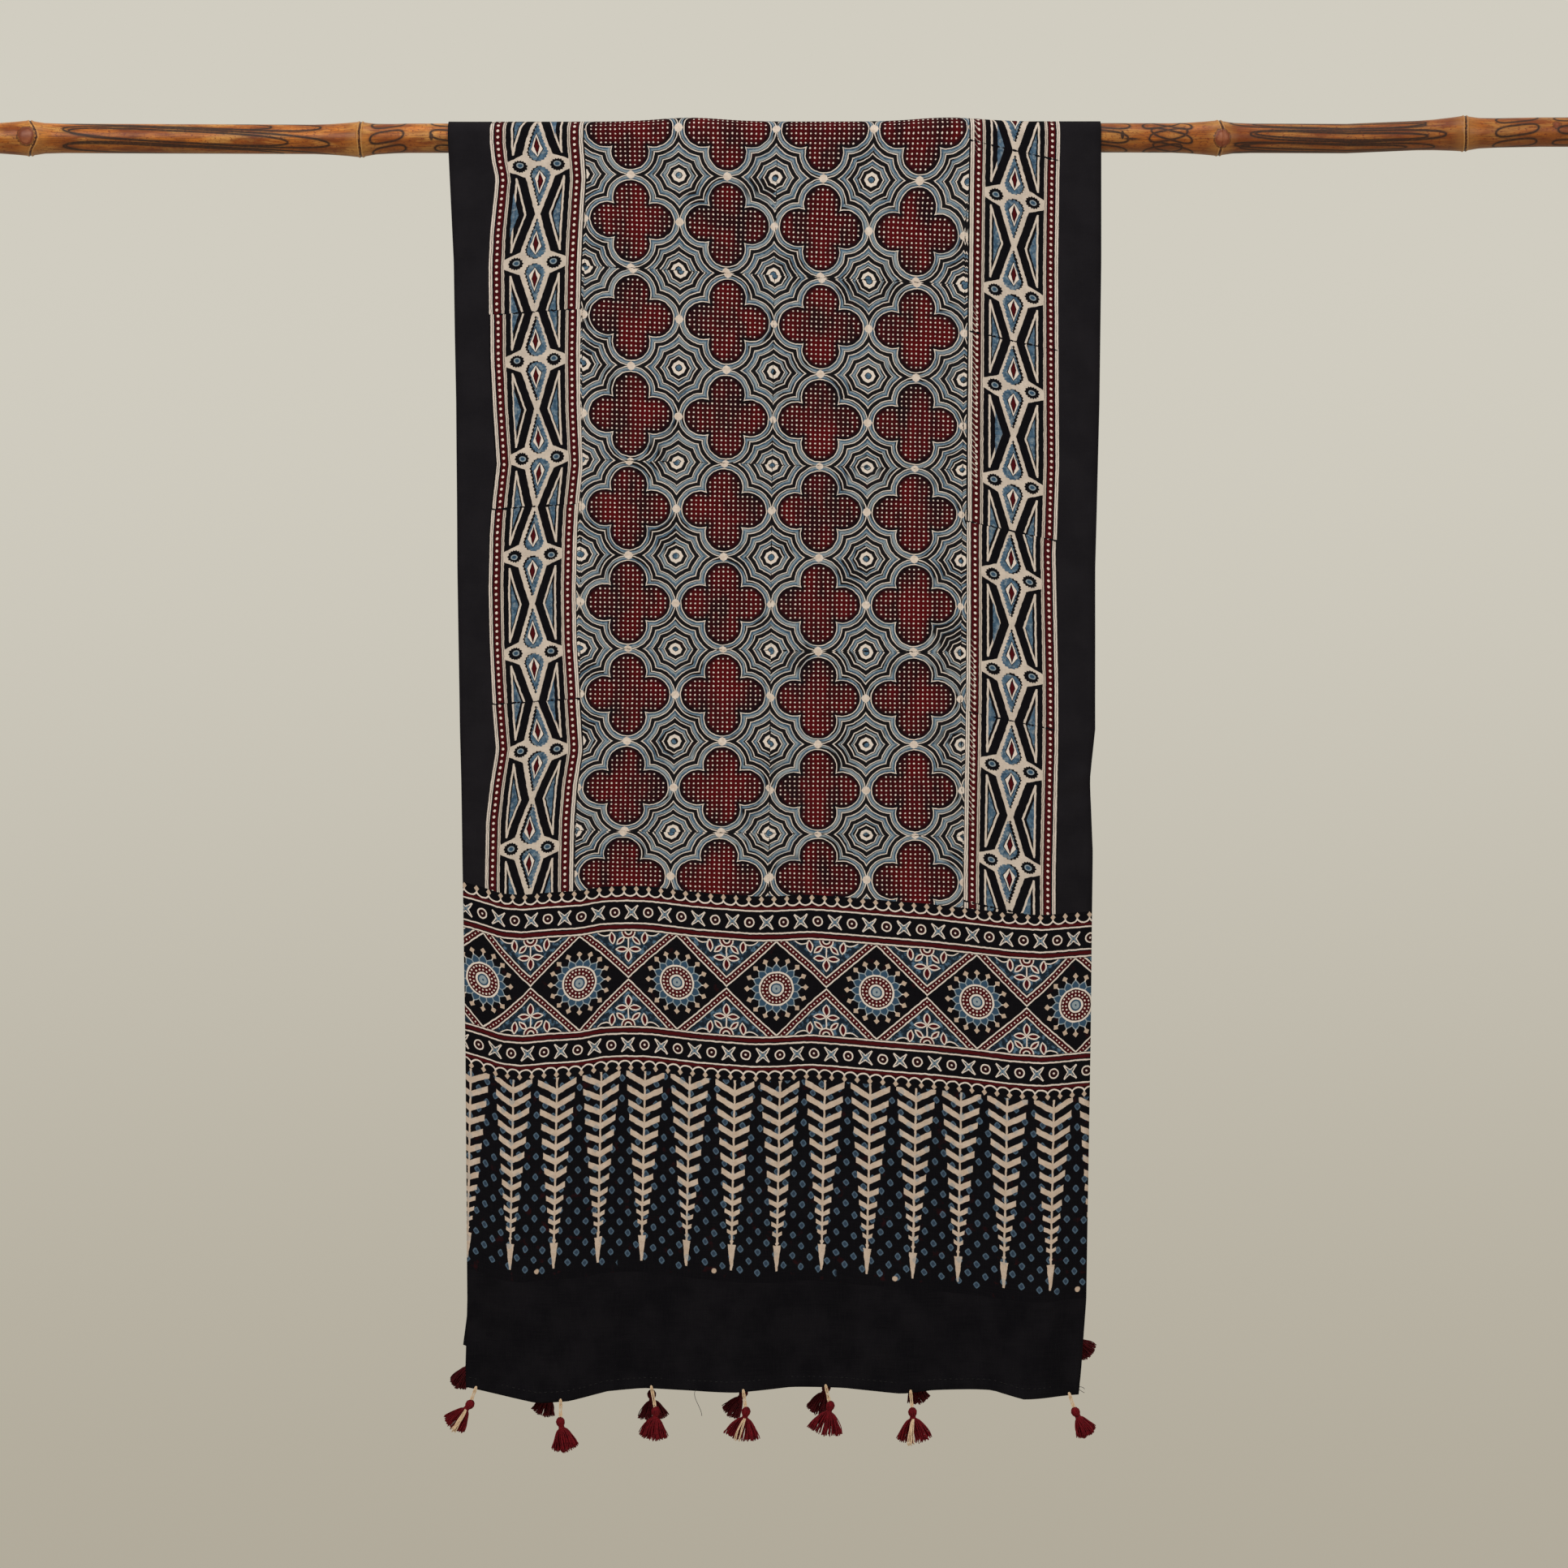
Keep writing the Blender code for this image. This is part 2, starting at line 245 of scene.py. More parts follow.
def placed(tree, kind, **settings):
    """A node of one kind in a tree, with its own settings and the values of its named inputs."""
    node = tree.nodes.new(kind)
    for name, value in settings.items():
        if hasattr(node, name):
            setattr(node, name, value)
        else:
            feed(node.inputs[name.replace("_", " ").title()], value)
    return node


def point_of(across, down):
    """A point on the cloth or the culm, from two readings, for a noise to read."""
    return placed(across.socket.id_data, "ShaderNodeCombineXYZ", x=across, y=down).outputs[0]


def parts_of(colour):
    """The three parts of a colour, as readings."""
    node = placed(colour.id_data, "ShaderNodeSeparateColor")
    feed(node.inputs[0], colour)
    return [Reading(part) for part in node.outputs]


def noise(point, size, detail=2.0, roughness=0.5):
    """Soft noise from 0 to 1 whose lumps are size millimetres across, as three readings."""
    node = placed(
        point.id_data, "ShaderNodeTexNoise", noise_dimensions="2D", vector=point, scale=1 / size,
        detail=detail, roughness=roughness,
    )
    return parts_of(node.outputs["Color"])


def chance(point):
    """Three readings from 0 to 1 that are the same all over one block and differ between blocks."""
    node = placed(point.id_data, "ShaderNodeTexWhiteNoise", noise_dimensions="2D", vector=point)
    return parts_of(node.outputs["Color"])


def seen(red, green, blue):
    """A colour as the eye sees it, turned into the linear values that a shader takes."""
    parts = [part / 255 for part in (red, green, blue)]
    return tuple(p / 12.92 if p < 0.04045 else ((p + 0.055) / 1.055) ** 2.4 for p in parts) + (1.0,)


def painted(ground, colour, mask):
    """The ground where the mask is 0 and the colour where it is 1; either may be one plain colour."""
    node = placed(mask.socket.id_data, "ShaderNodeMix", data_type="RGBA")
    feed(node.inputs[0], mask)
    for socket, value in zip([socket for socket in node.inputs if socket.type == "RGBA"], (ground, colour)):
        feed(socket, value)
    return [socket for socket in node.outputs if socket.type == "RGBA"][0]


class Laid:
    """A colour that is built up by laying others over it, each where its own mask is 1."""

    def __init__(self, colour):
        self.colour = colour

    def lay(self, colour, mask):
        self.colour = painted(self.colour, colour, mask)
        return self


Stripe = namedtuple("Stripe", "start colour")


def striped(reading, span, stripes, soft=0.25):
    """Colours in bands of one reading, from 0 to span; each stripe runs on to the next one's start."""
    ramp = placed(reading.socket.id_data, "ShaderNodeValToRGB")
    feed(ramp.inputs[0], reading / span)
    points = ramp.color_ramp.elements
    points[0].color = stripes[0].colour
    points.remove(points[1])
    for before, after in zip(stripes, stripes[1:]):
        points.new((after.start - soft / 2) / span).color = before.colour
        points.new((after.start + soft / 2) / span).color = after.colour
    return ramp.outputs[0]


def new_material(name, values):
    """A new material and its Principled shader, whose named inputs get these values."""
    material = bpy.data.materials.new(name)
    material.use_nodes = True
    shader = material.node_tree.nodes["Principled BSDF"]
    for socket, value in values.items():
        feed(shader.inputs[socket], value)
    return material, shader


def map_readings(tree):
    """The two readings of the piece's own map: along or across, and round or down."""
    place = placed(tree, "ShaderNodeUVMap", uv_map="print")
    parts = placed(tree, "ShaderNodeSeparateXYZ", vector=place.outputs[0])
    return Reading(parts.outputs[0]), Reading(parts.outputs[1])


def relief(height, distance, strength):
    """The normals of a surface raised by a height, where 1 stands for the distance in millimetres."""
    bump = placed(height.socket.id_data, "ShaderNodeBump", strength=strength, distance=distance * MM)
    feed(bump.inputs["Height"], height)
    return bump.outputs[0]


Loops = namedtuple("Loops", "along half_length pitch half_height drift")
SCORCHED_LOOPS = rows_of(Loops,
    (-492, 112, 14.4, 6.1, 0.055), (-512, 92, 13.6, 5.0, 0.05), (-333, 14, 13.2, 4.6, -0.16),
    (-278, 17, 13.0, 4.4, 0.1), (266, 22, 12.6, 4.8, 0.12), (321, 16, 13.0, 4.4, -0.2),
    (327, 17, 12.2, 4.0, 0.26), (467, 82, 11.2, 4.6, 0.02), (462, 72, 10.2, 2.9, 0.035),
    (617, 18, 12.4, 4.4, -0.12), (664, 14, 12.0, 3.4, 0.0),
)
Blot = namedtuple("Blot", "along around half_length half_height")
SCORCHED_BLOTS = rows_of(Blot,
    (-297, -0.7, 1.6, 2.9), (285, 0.4, 1.4, 3.6), (293, -3.0, 6.0, 0.9), (391, -9.0, 2.4, 1.2),
    (489, -5.0, 25, 1.3),
)


def scorched_line(along, around, loops, width=1.7):
    """How far a point is outside a family of scorched loops. Each is a long oval, leant by drift, and
    the ovals repeat round the culm, each slid along by a chance of its own."""
    level = around + (along - loops.along) * loops.drift
    slide = chance(point_of((level / loops.pitch + 0.5).below(), along * 0 + loops.along))
    x = (along - loops.along + (slide[0] - 0.5) * (loops.half_length * 0.35)) / loops.half_length
    y = level.nearest(loops.pitch) / loops.half_height
    size = (x * x).length(y)
    slope = (x * x * abs(x) * (2 / loops.half_length)).length(y * (1 / loops.half_height)) + 0.0001
    return abs((size - 1) * size / slope) - width / 2


def bamboo_material():
    """Waxed amber skin with fine fibres along it, browner towards the right end, painted shade along
    its underside, a dark groove and a pale lip at each node, red-brown scars and flecks, and the
    scorched loops."""
    values = {"Specular IOR Level": 0.24, "Coat Weight": 0.08, "Coat Roughness": 0.22}
    material, shader = new_material("waxed bamboo", values)
    along, around = map_readings(material.node_tree)
    stretched = point_of(along * 0.045, around)
    fibre = noise(stretched, 0.9, detail=4.0, roughness=0.6)
    cloud = noise(point_of(along * 0.25, around), 9.0, detail=3.0)
    fleck = noise(point_of(along * 0.5, around), 1.6, detail=3.0, roughness=0.7)
    skin = Laid(seen(204, 120, 40)).lay(seen(134, 64, 18), (0.5 - cloud[0]).inside(0.3))
    skin.lay(seen(222, 160, 82), (0.58 - cloud[1]).inside(0.2) * 0.75)
    skin.lay(seen(118, 56, 18), (along * -1 + 150).inside(500) * 0.4)
    skin.lay(seen(92, 48, 18), (0.54 - fibre[0]).inside(0.24) * 0.6)
    skin.lay(seen(110, 38, 18), (0.62 - fleck[0]).inside(0.06) * 0.85)
    # Painted shade: a darker band along the culm's underside, away from the light.
    under = (abs(around + 20) - 16).inside(16) * 0.5
    skin.lay(seen(84, 44, 18), under)
    groove = None
    for node in POLE_NODES:
        bend = (around * around * (-1 / RING_BEND**2)).worked("EXPONENT") * node.lean
        reach = abs(along - node.along - bend + (fibre[1] - 0.5) * 0.8)
        groove = reach if groove is None else groove.least(reach)
    skin.lay(seen(190, 136, 70), (groove - 9).inside(9) * 0.3)
    skin.lay(seen(204, 158, 98), (abs(groove - 1.6) - 0.3).inside(0.4) * 0.55)
    skin.lay(seen(58, 29, 16), (groove - 0.7 + (fleck[1] - 0.5) * 2.6).inside(0.4))
    for scar in BRANCH_SCARS:
        reach = (along - scar.along).length(around - scar.around) - scar.radius
        reach = reach + (fleck[1] - 0.5) * 4.0
        skin.lay(seen(116, 56, 32), (reach + 0.6).inside(1.2))
        skin.lay(seen(150, 88, 58), (reach + 2.6).inside(1.6) * (0.46 - cloud[2]).inside(0.2))
        skin.lay(seen(60, 30, 18), (abs(reach) - 0.4).inside(0.5) * 0.8)
    worn = (0.42 - fleck[2]).inside(0.2)
    scorched = None
    for loops in SCORCHED_LOOPS:
        line = scorched_line(along, around, loops)
        scorched = line if scorched is None else scorched.least(line)
    for blot in SCORCHED_BLOTS:
        x = (along - blot.along) / blot.half_length
        spot = (x.length((around - blot.around) / blot.half_height) - 1) * blot.half_height
        scorched = scorched.least(spot)
    scorched = scorched + (fibre[2] - 0.5) * 0.6
    skin.lay(seen(84, 42, 18), (scorched - 0.6).inside(1.6) * 0.55)
    skin.lay(seen(46, 26, 16), scorched.inside(0.5) * (worn * 0.3 + 0.66))
    height = fibre[0] * 0.25 + fleck[0] * 0.15 - (groove - 0.6).inside(0.5) * 0.6
    feed(shader.inputs["Base Color"], skin.colour)
    feed(shader.inputs["Roughness"], fibre[0] * 0.25 + scorched.inside(0.6) * 0.15 + 0.22)
    feed(shader.inputs["Normal"], relief(height, 0.5, 0.5))
    return material


def culm_end_rows(end):
    """Rows that close one end of the culm, inwards from its skin: the flat sawn wall, the hollow's
    side, and the thin wall across it a little way in."""
    inner = POLE_RADIUS - CULM_WALL
    deep = end - math.copysign(CULM_HOLLOW_DEPTH, end)
    profile = ((end, 0.5 * (inner + POLE_RADIUS)), (end, inner), (deep, inner - 0.5), (deep, 0.0))
    return [(np.full(POLE_SIDES, place), np.full(POLE_SIDES, radius)) for place, radius in profile]


def make_pole():
    """A tube round the culm's crooked axis: at each station along it, a ring whose radius is
    pole_radius there. The rows run from the left end's hollow to the right end's."""
    turn = np.arange(POLE_SIDES) * 2 * math.pi / POLE_SIDES - math.pi
    around = turn * POLE_RADIUS
    spots = [np.linspace(-POLE_HALF_LENGTH, POLE_HALF_LENGTH, POLE_STATIONS)]
    spots += [node.along + np.linspace(-4, 4, 17) for node in POLE_NODES]
    stations = np.unique(np.round(np.concatenate(spots), 2))
    skin = [(np.full(POLE_SIDES, place), pole_radius(place, around)) for place in stations]
    left = culm_end_rows(-POLE_HALF_LENGTH)[::-1]
    right = culm_end_rows(POLE_HALF_LENGTH)
    along = np.array([row[0] for row in left + skin + right])
    radius = np.array([row[1] for row in left + skin + right])
    points = np.stack([along, -radius * np.cos(turn), pole_rise(along) + radius * np.sin(turn)], axis=-1)
    faces = grid_faces(len(points), POLE_SIDES, wrap=True)[:, ::-1]
    pole = shaped("bamboo_culm", points, faces, [bamboo_material()])
    corners = corner_vertices(pole)
    station, side = np.divmod(corners, POLE_SIDES)
    place = along[station, side]
    round_it = around[side].reshape(-1, 4)
    seam = (round_it.max(axis=1) - round_it.min(axis=1)) > POLE_RADIUS
    round_it[seam] = np.where(round_it[seam] < 0, round_it[seam] + 2 * math.pi * POLE_RADIUS, round_it[seam])
    give_map(pole, np.stack([place, round_it.ravel()], axis=-1))
    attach(pole, "root")
    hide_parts("bamboo_pole")
    return pole


pole = make_pole()

# The stole
# One length of plain-woven cotton, about 0.55 by 2.15 m, its short ends turned under in a narrow hem.
# It is block-printed and dyed right through, so the back of the cloth shows the same print. Here it
# hangs over the pole nearly flat, with soft folds that deepen towards each hem.

CLOTH_THICKNESS = 1.0
HEM_THICKNESS = 2.2
HEM_HEIGHT = 8.5
POLE_CLEARANCE = 0.5
NODE_COVER_HEIGHT = 3.2
NODE_COVER_REACH = 38
HANG_OFFSET = 13.4
HANG_SETTLES_BY = 160
FOLDS_START = 20
FOLDS_FULL = 950
RUMPLE_STARTS = 30
RUMPLE_FULL = 200
MARGIN_COLUMNS = 5
BORDER_COLUMNS = 14
FIELD_COLUMNS = 60
UPPER_ROWS = 115
BAND_ROWS = 28
LEAF_ROWS = 32
PLAIN_ROWS = 20
ARC_ROWS = 14
FIRST_GUESS = 500.0
CROWDED_TO_HEM = 1.35

Section = namedtuple("Section", "drop left right")
FRONT_SECTIONS = rows_of(Section,
    (0, -283, 267), (106, -278, 267), (225, -276, 265.5), (364, -275, 262), (500, -273, 262),
    (541, -272, 257.5), (603, -271, 260), (774, -268.5, 258), (980, -267, 254.5), (1035, -268.5, 250.5),
    (1060, -268, 248),
)
BACK_SECTIONS = rows_of(Section,
    (0, -283, 267), (120, -277, 266), (400, -271, 260), (800, -265, 254), (970, -266, 250),
    (1025, -273, 249),
)
HemPoint = namedtuple("HemPoint", "across drop")
FRONT_HEM = rows_of(HemPoint,
    (0.0, 1054), (0.04, 1058), (0.12, 1065.5), (0.17, 1064), (0.23, 1057), (0.29, 1055), (0.44, 1057.5),
    (0.53, 1054), (0.62, 1054.5), (0.71, 1058), (0.76, 1056), (0.86, 1056), (0.91, 1062.5), (1.0, 1060),
)
BACK_HEM = rows_of(HemPoint,
    (0.0, 1022), (0.14, 1049), (0.3, 1050), (0.45, 1050), (0.59, 1046), (0.73, 1039), (0.87, 1019),
    (1.0, 1004),
)
Fold = namedtuple("Fold", "across depth")
FRONT_FOLDS = rows_of(Fold,
    (0.0, -6), (0.12, 9), (0.29, -6), (0.44, 4), (0.56, -6), (0.71, 5), (0.81, -5), (0.92, 10),
    (1.0, -3),
)
BACK_FOLDS = rows_of(Fold, (0.0, 5), (0.14, -7), (0.32, 8), (0.5, -5), (0.68, 7), (0.84, -6), (1.0, 6))

FIELD_PITCH = 80
BORDER_WIDTH = 77
BORDER_PITCH = 82
MEDALLION_PITCH = 83.3
STEM_PITCH = 38.0

# Where the side borders' cream lines wander, and the wavy line at the top of the end border
BorderLine = namedtuple("BorderLine", "drop outer inner")
LEFT_BORDER = rows_of(BorderLine,
    (6, -247.1, -168.7), (21, -245.5, -167.5), (36, -242.2, -166.5), (51, -243.5, -167.6),
    (81, -246.7, -169.2), (111, -248.1, -170.6), (186, -247.4, -172.2), (231, -245.2, -171.8),
    (277, -242.1, -169.8), (307, -245.5, -172.9), (337, -247.6, -174.4), (382, -248.6, -175.3),
    (427, -247.6, -174.7), (472, -245.5, -171.9), (517, -241.7, -169.1), (547, -246.7, -173.8),
    (577, -250.3, -176.0), (622, -251.2, -176.8),
)
RIGHT_BORDER = rows_of(BorderLine,
    (6, 231.9, 156.4), (36, 231.1, 155.9), (111, 230.1, 155.2), (231, 230.4, 154.2),
    (277, 230.7, 154.0), (352, 228.4, 154.0), (397, 229.2, 154.0), (457, 230.4, 153.7),
    (517, 230.6, 153.0), (622, 228.3, 151.6),
)
EndLine = namedtuple("EndLine", "x drop")
FRONT_END_LINE = rows_of(EndLine,
    (-270, 640.7), (-255, 644.8), (-238, 650.2), (-220, 651.6), (-198, 649.5), (-172, 648.2),
    (-153, 644.8), (-131, 644.1), (-113, 644.8), (-73, 649.5), (-27, 652.9), (-5, 652.9), (23, 651.6),
    (68, 655.0), (119, 659.1), (166, 664.6), (191, 667.3), (217, 668.7), (259, 665.9),
)
BACK_END_ABOVE_HEM = 402
RIGHT_BORDER_ON = 3200
Stamp = namedtuple("Stamp", "lines skew row_pitch first_row")
LEFT_STAMP = Stamp(LEFT_BORDER, 0.064, BORDER_PITCH, 27.9)
RIGHT_STAMP = Stamp(RIGHT_BORDER, 0.22, 80.0, 61.5 - RIGHT_BORDER_ON)
SCALLOPS_REACH = 12.6
BAND_HEIGHT = 130.6
LEAVES_HEIGHT = 182

# Where the field's rows and columns of rosettes lie on the cloth, each a pitch apart in the print
FieldRow = namedtuple("FieldRow", "down left_drop right_drop")
FIELD_ROWS = rows_of(FieldRow,
    (-80, -84.8, -84.8), (0, -4.8, -4.8), (80, 71.7, 84.0), (160, 151.6, 163.9), (240, 234.3, 242.5),
    (320, 312.8, 318.3), (400, 392.7, 396.1), (480, 471.3, 473.3), (560, 549.8, 550.5),
    (640, 621.5, 628.4), (720, 702.0, 708.0),
)
FieldColumn = namedtuple("FieldColumn", "drop first last")
FIELD_EDGES = rows_of(FieldColumn,
    (-5, -129.1, 118.8), (78, -126.6, 112.7), (152, -129.4, 112.0), (313, -130.5, 110.0),
    (471, -131.8, 108.6), (622, -135.2, 110.0),
)
Medallion = namedtuple("Medallion", "x across")
MEDALLIONS = tuple(
    Medallion(x, place * MEDALLION_PITCH)
    for place, x in enumerate((-253.4, -172.1, -90.2, -6.5, 77.9, 162.6, 245.2), start=-3)
)
Stem = namedtuple("Stem", "x across")
STEMS = rows_of(Stem,
    (-263.6, 0.0), (-116.8, 4 * STEM_PITCH), (34.8, 8 * STEM_PITCH), (149.6, 11 * STEM_PITCH),
    (226.8, 13 * STEM_PITCH),
)
STEM_LEAN = 0.02


def eased(table, key, name, where):
    """A table's column read off with level tops and bottoms, as soft folds have."""
    keys, values = column(table, key), column(table, name)
    start = np.clip(np.searchsorted(keys, where, side="right") - 1, 0, len(keys) - 2)
    share = np.clip((where - keys[start]) / (keys[start + 1] - keys[start]), 0.0, 1.0)
    return values[start] + (values[start + 1] - values[start]) * (1 - np.cos(math.pi * share)) / 2


def smooth_step(low, high, where):
    """0 below low and 1 above high, with a level start and end: 3s^2 - 2s^3 of the share s between."""
    share = np.clip((where - low) / (high - low), 0.0, 1.0)
    return share * share * (3 - 2 * share)


def column_places():
    """Each column of the cloth's grid as a place from 0 to 5: the plain left margin is from 0 to 1,
    the left border to 2, the field to 3, the right border to 4 and the right margin to 5."""
    counts = (MARGIN_COLUMNS, BORDER_COLUMNS, FIELD_COLUMNS, BORDER_COLUMNS, MARGIN_COLUMNS)
    runs = [start + np.arange(count) / count for start, count in enumerate(counts)]
    return np.concatenate([*runs, [5.0]])


def column_x(places, drop, sections):
    """X of each column at a drop: straight runs between the edges and the lines of both borders."""
    edges = [read_off(sections, "drop", side, drop) for side in ("left", "right")]
    left = [read_off(LEFT_BORDER, "drop", name, drop) for name in ("outer", "inner")]
    right = [read_off(RIGHT_BORDER, "drop", name, drop) for name in ("inner", "outer")]
    knots = np.stack([edges[0], left[0] - 0.6, left[1] + 0.6, right[0] - 0.6, right[1] + 0.6, edges[1]])
    start = np.minimum(places.astype(int), 4)
    which = np.arange(len(places))
    low, high = knots[start, which], knots[start + 1, which]
    return low + (high - low) * (places - start)


def drape_radius(x):
    """Radius at which the cloth's middle passes over the pole, raised over each hidden node."""
    over_nodes = sum(np.exp(-(((x - node.along) / NODE_COVER_REACH) ** 2)) for node in POLE_NODES)
    return POLE_RADIUS + POLE_CLEARANCE + CLOTH_THICKNESS / 2 + NODE_COVER_HEIGHT * over_nodes


def crease(x, z, start, end, width):
    """The height from 0 to 1 of a soft crease along the line between two places on the cloth: a bell
    across the line, which dies away past its ends."""
    length = math.hypot(end[0] - start[0], end[1] - start[1])
    ux, uz = (end[0] - start[0]) / length, (end[1] - start[1]) / length
    along = (x - start[0]) * ux + (z - start[1]) * uz
    aside = (z - start[1]) * ux - (x - start[0]) * uz
    ends = smooth_step(-0.2, 0.15, along / length) * (1 - smooth_step(0.85, 1.2, along / length))
    return ends * np.exp(-((aside / width) ** 2))


Crease = namedtuple("Crease", "start end width height")
FRONT_CREASES = rows_of(Crease,
    ((-262, 1), (-150, 2), 2.4, -1.0), ((-150, 2), (60, 0), 2.4, -0.6), ((60, 0), (266, 2), 2.4, -1.0),
    ((228, 548), (262, 534), 5.0, 2.2), ((232, 560), (262, 552), 4.0, -1.6),
    ((-232, 965), (-246, 1045), 9.0, 3.2), ((-205, 960), (-222, 1050), 9.0, -2.4),
    ((214, 1000), (246, 1052), 10.0, 2.6), ((84, 1012), (104, 1050), 5.0, 1.8),
    ((-11, 60), (-11, 640), 3.5, -0.7), ((-170, 520), (150, 512), 6.0, 0.9),
    ((-180, 262), (160, 270), 7.0, 0.8), ((-120, 905), (120, 918), 9.0, 1.2),
    ((-60, 800), (-90, 1040), 12.0, 1.6), ((170, 780), (150, 1040), 12.0, 1.6),
)
BACK_CREASES = rows_of(Crease,
    ((-180, 300), (170, 290), 7.0, 1.0), ((-90, 700), (-120, 1030), 12.0, 2.0),
    ((120, 640), (160, 1000), 12.0, 2.0),
)


def rumple(x, drop, seed):
    """Slight unevenness of hanging cotton: five long slanting waves, a third of a millimetre each."""
    draw = np.random.default_rng(seed)
    waves = 0.0
    for size in (160, 110, 74, 52, 37):
        turn, phase = draw.uniform(-0.9, 0.9), draw.uniform(0, 2 * math.pi)
        across = x * math.cos(turn) + drop * math.sin(turn)
        waves = waves + math.sqrt(size) / 34 * np.sin(2 * math.pi * across / size + phase)
    return waves


def drop_row(places, landmarks, sections, hem, folds, creases, side, seed):
    """One row of a hanging drop. Its height at each column is a share of the way between two of the
    print's lines, and side is -1 in front of the pole and 1 behind it."""
    x = column_x(places, np.full(len(places), FIRST_GUESS), sections)
    for _ in range(2):
        drop = landmarks(x)
        x = column_x(places, drop, sections)
    across = (x - read_off(sections, "drop", "left", drop)) / (
        read_off(sections, "drop", "right", drop) - read_off(sections, "drop", "left", drop)
    )
    settled = smooth_step(0.0, HANG_SETTLES_BY, drop)
    offset = drape_radius(x) * (1 - settled) + HANG_OFFSET * settled
    creased = sum(c.height * crease(x, drop, c.start, c.end, c.width) for c in creases)
    creased = creased + rumple(x, drop, seed) * smooth_step(RUMPLE_STARTS, RUMPLE_FULL, drop)
    fold = eased(folds, "across", "depth", across) * smooth_step(FOLDS_START, FOLDS_FULL, drop)
    above_hem = hem_drop(x, sections, hem) - drop
    in_hem = 1 - smooth_step(HEM_HEIGHT - 1.5, HEM_HEIGHT, above_hem)
    thickness = CLOTH_THICKNESS + (HEM_THICKNESS - CLOTH_THICKNESS) * in_hem
    thickness = thickness - 0.5 * np.exp(-(((above_hem - HEM_HEIGHT - 0.5) / 1.2) ** 2))
    points = np.stack([x, side * (offset + fold + creased), pole_rise(x) - drop], axis=1)
    return points, thickness, drop


def hem_drop(x, sections, hem):
    """How far down the hem is at each X."""
    left, right = sections[-1].left, sections[-1].right
    return read_off(hem, "across", "drop", (x - left) / (right - left))


def drop_lines(sections, hem, end_line):
    """The lines that part one drop of the print, as functions of X: the pole, the tops of the end
    border's scallops, the feet of the lower ones, the leaves' tips and the hem."""
    return (
        lambda x: 0.0 * x,
        lambda x: end_line(x) - SCALLOPS_REACH,
        lambda x: end_line(x) + BAND_HEIGHT + SCALLOPS_REACH,
        lambda x: end_line(x) + BAND_HEIGHT + LEAVES_HEIGHT,
        lambda x: hem_drop(x, sections, hem),
    )


def front_end_line(x):
    """How far down the front end border's top line is at each X."""
    return read_off(FRONT_END_LINE, "x", "drop", x)


def back_end_line(x):
    """The same behind, at one height above that end's hem."""
    return hem_drop(x, BACK_SECTIONS, BACK_HEM) - BACK_END_ABOVE_HEM


def drop_rows(places, sections, hem, folds, creases, end_line, side, seed):
    """All rows of one drop, from just under the pole down to the hem, and the part of the print that
    the cloth above each row belongs to, counted from 0 at the top."""
    lines = drop_lines(sections, hem, end_line)
    rows, parts = [], []
    for part, count in enumerate((UPPER_ROWS, BAND_ROWS, LEAF_ROWS, PLAIN_ROWS)):
        for step in range(1, count + 1):
            share = step / count
            if part == 3:
                share = 1 - (1 - share) ** CROWDED_TO_HEM

            def height(x, part=part, share=share):
                return lines[part](x) * (1 - share) + lines[part + 1](x) * share

            rows.append(drop_row(places, height, sections, hem, folds, creases, side, seed))
            parts.append(part)
    return rows, parts


def arc_row(places, angle):
    """One row over the pole; the angle runs from its front face, over its top, to its back face."""
    x = column_x(places, np.zeros(len(places)), FRONT_SECTIONS)
    radius = drape_radius(x) + sum(
        c.height * crease(x, -radius_drop(angle), c.start, c.end, c.width) for c in FRONT_CREASES[:3]
    ) * (angle < 1)
    points = np.stack([x, -radius * math.cos(angle), pole_rise(x) + radius * math.sin(angle)], axis=1)
    return points, np.full(len(places), CLOTH_THICKNESS), np.full(len(places), -radius_drop(angle))


def radius_drop(angle):
    """How far up and over the pole a place on the arc is, measured along the cloth."""
    return angle * (POLE_RADIUS + POLE_CLEARANCE)


def field_map(x, path):
    """Place in the field's print: its rows and columns of rosettes, read off where they lie."""
    left = read_off(FIELD_ROWS, "left_drop", "down", path)
    right = read_off(FIELD_ROWS, "right_drop", "down", path)
    above = path < FIELD_ROWS[0].left_drop
    left, right = (np.where(above, path - FIELD_ROWS[1].left_drop, line) for line in (left, right))
    first = read_off(FIELD_EDGES, "drop", "first", path)
    last = read_off(FIELD_EDGES, "drop", "last", path)
    share = (x - first) / (last - first)
    return share * 3 * FIELD_PITCH, left + (right - left) * share


def border_map(x, path, stamp):
    """Place in a side border's print: in from its outer line, scaled to the border's width, and down
    from a row of small rosettes, scaled to their pitch; skew slants the rows as they were stamped."""
    outer, inner = (read_off(stamp.lines, "drop", name, np.abs(path)) for name in ("outer", "inner"))
    inwards = BORDER_WIDTH * (x - outer) / (inner - outer)
    return inwards, (path - stamp.first_row + stamp.skew * inwards) * BORDER_PITCH / stamp.row_pitch


def run_on(table, x):
    """Place across the print at each X: read off between the table's rows, and run on past its ends."""
    first, last = table[0], table[-1]
    across = read_off(table, "x", "across", x)
    across = np.where(x > last.x, last.across + (x - last.x), across)
    return np.where(x < first.x, first.across + (x - first.x), across)


def band_map(x, drop, end_line):
    """Place in the end border's print: across in steps of its discs, and down from its top line."""
    return run_on(MEDALLIONS, x), drop - end_line(x)


def leaf_map(x, drop, end_line):
    """Place in the leaves' print: across in steps of their stems, which lean, and down from its top."""
    down = drop - end_line(x) - BAND_HEIGHT
    return run_on(STEMS, x + STEM_LEAN * down), down


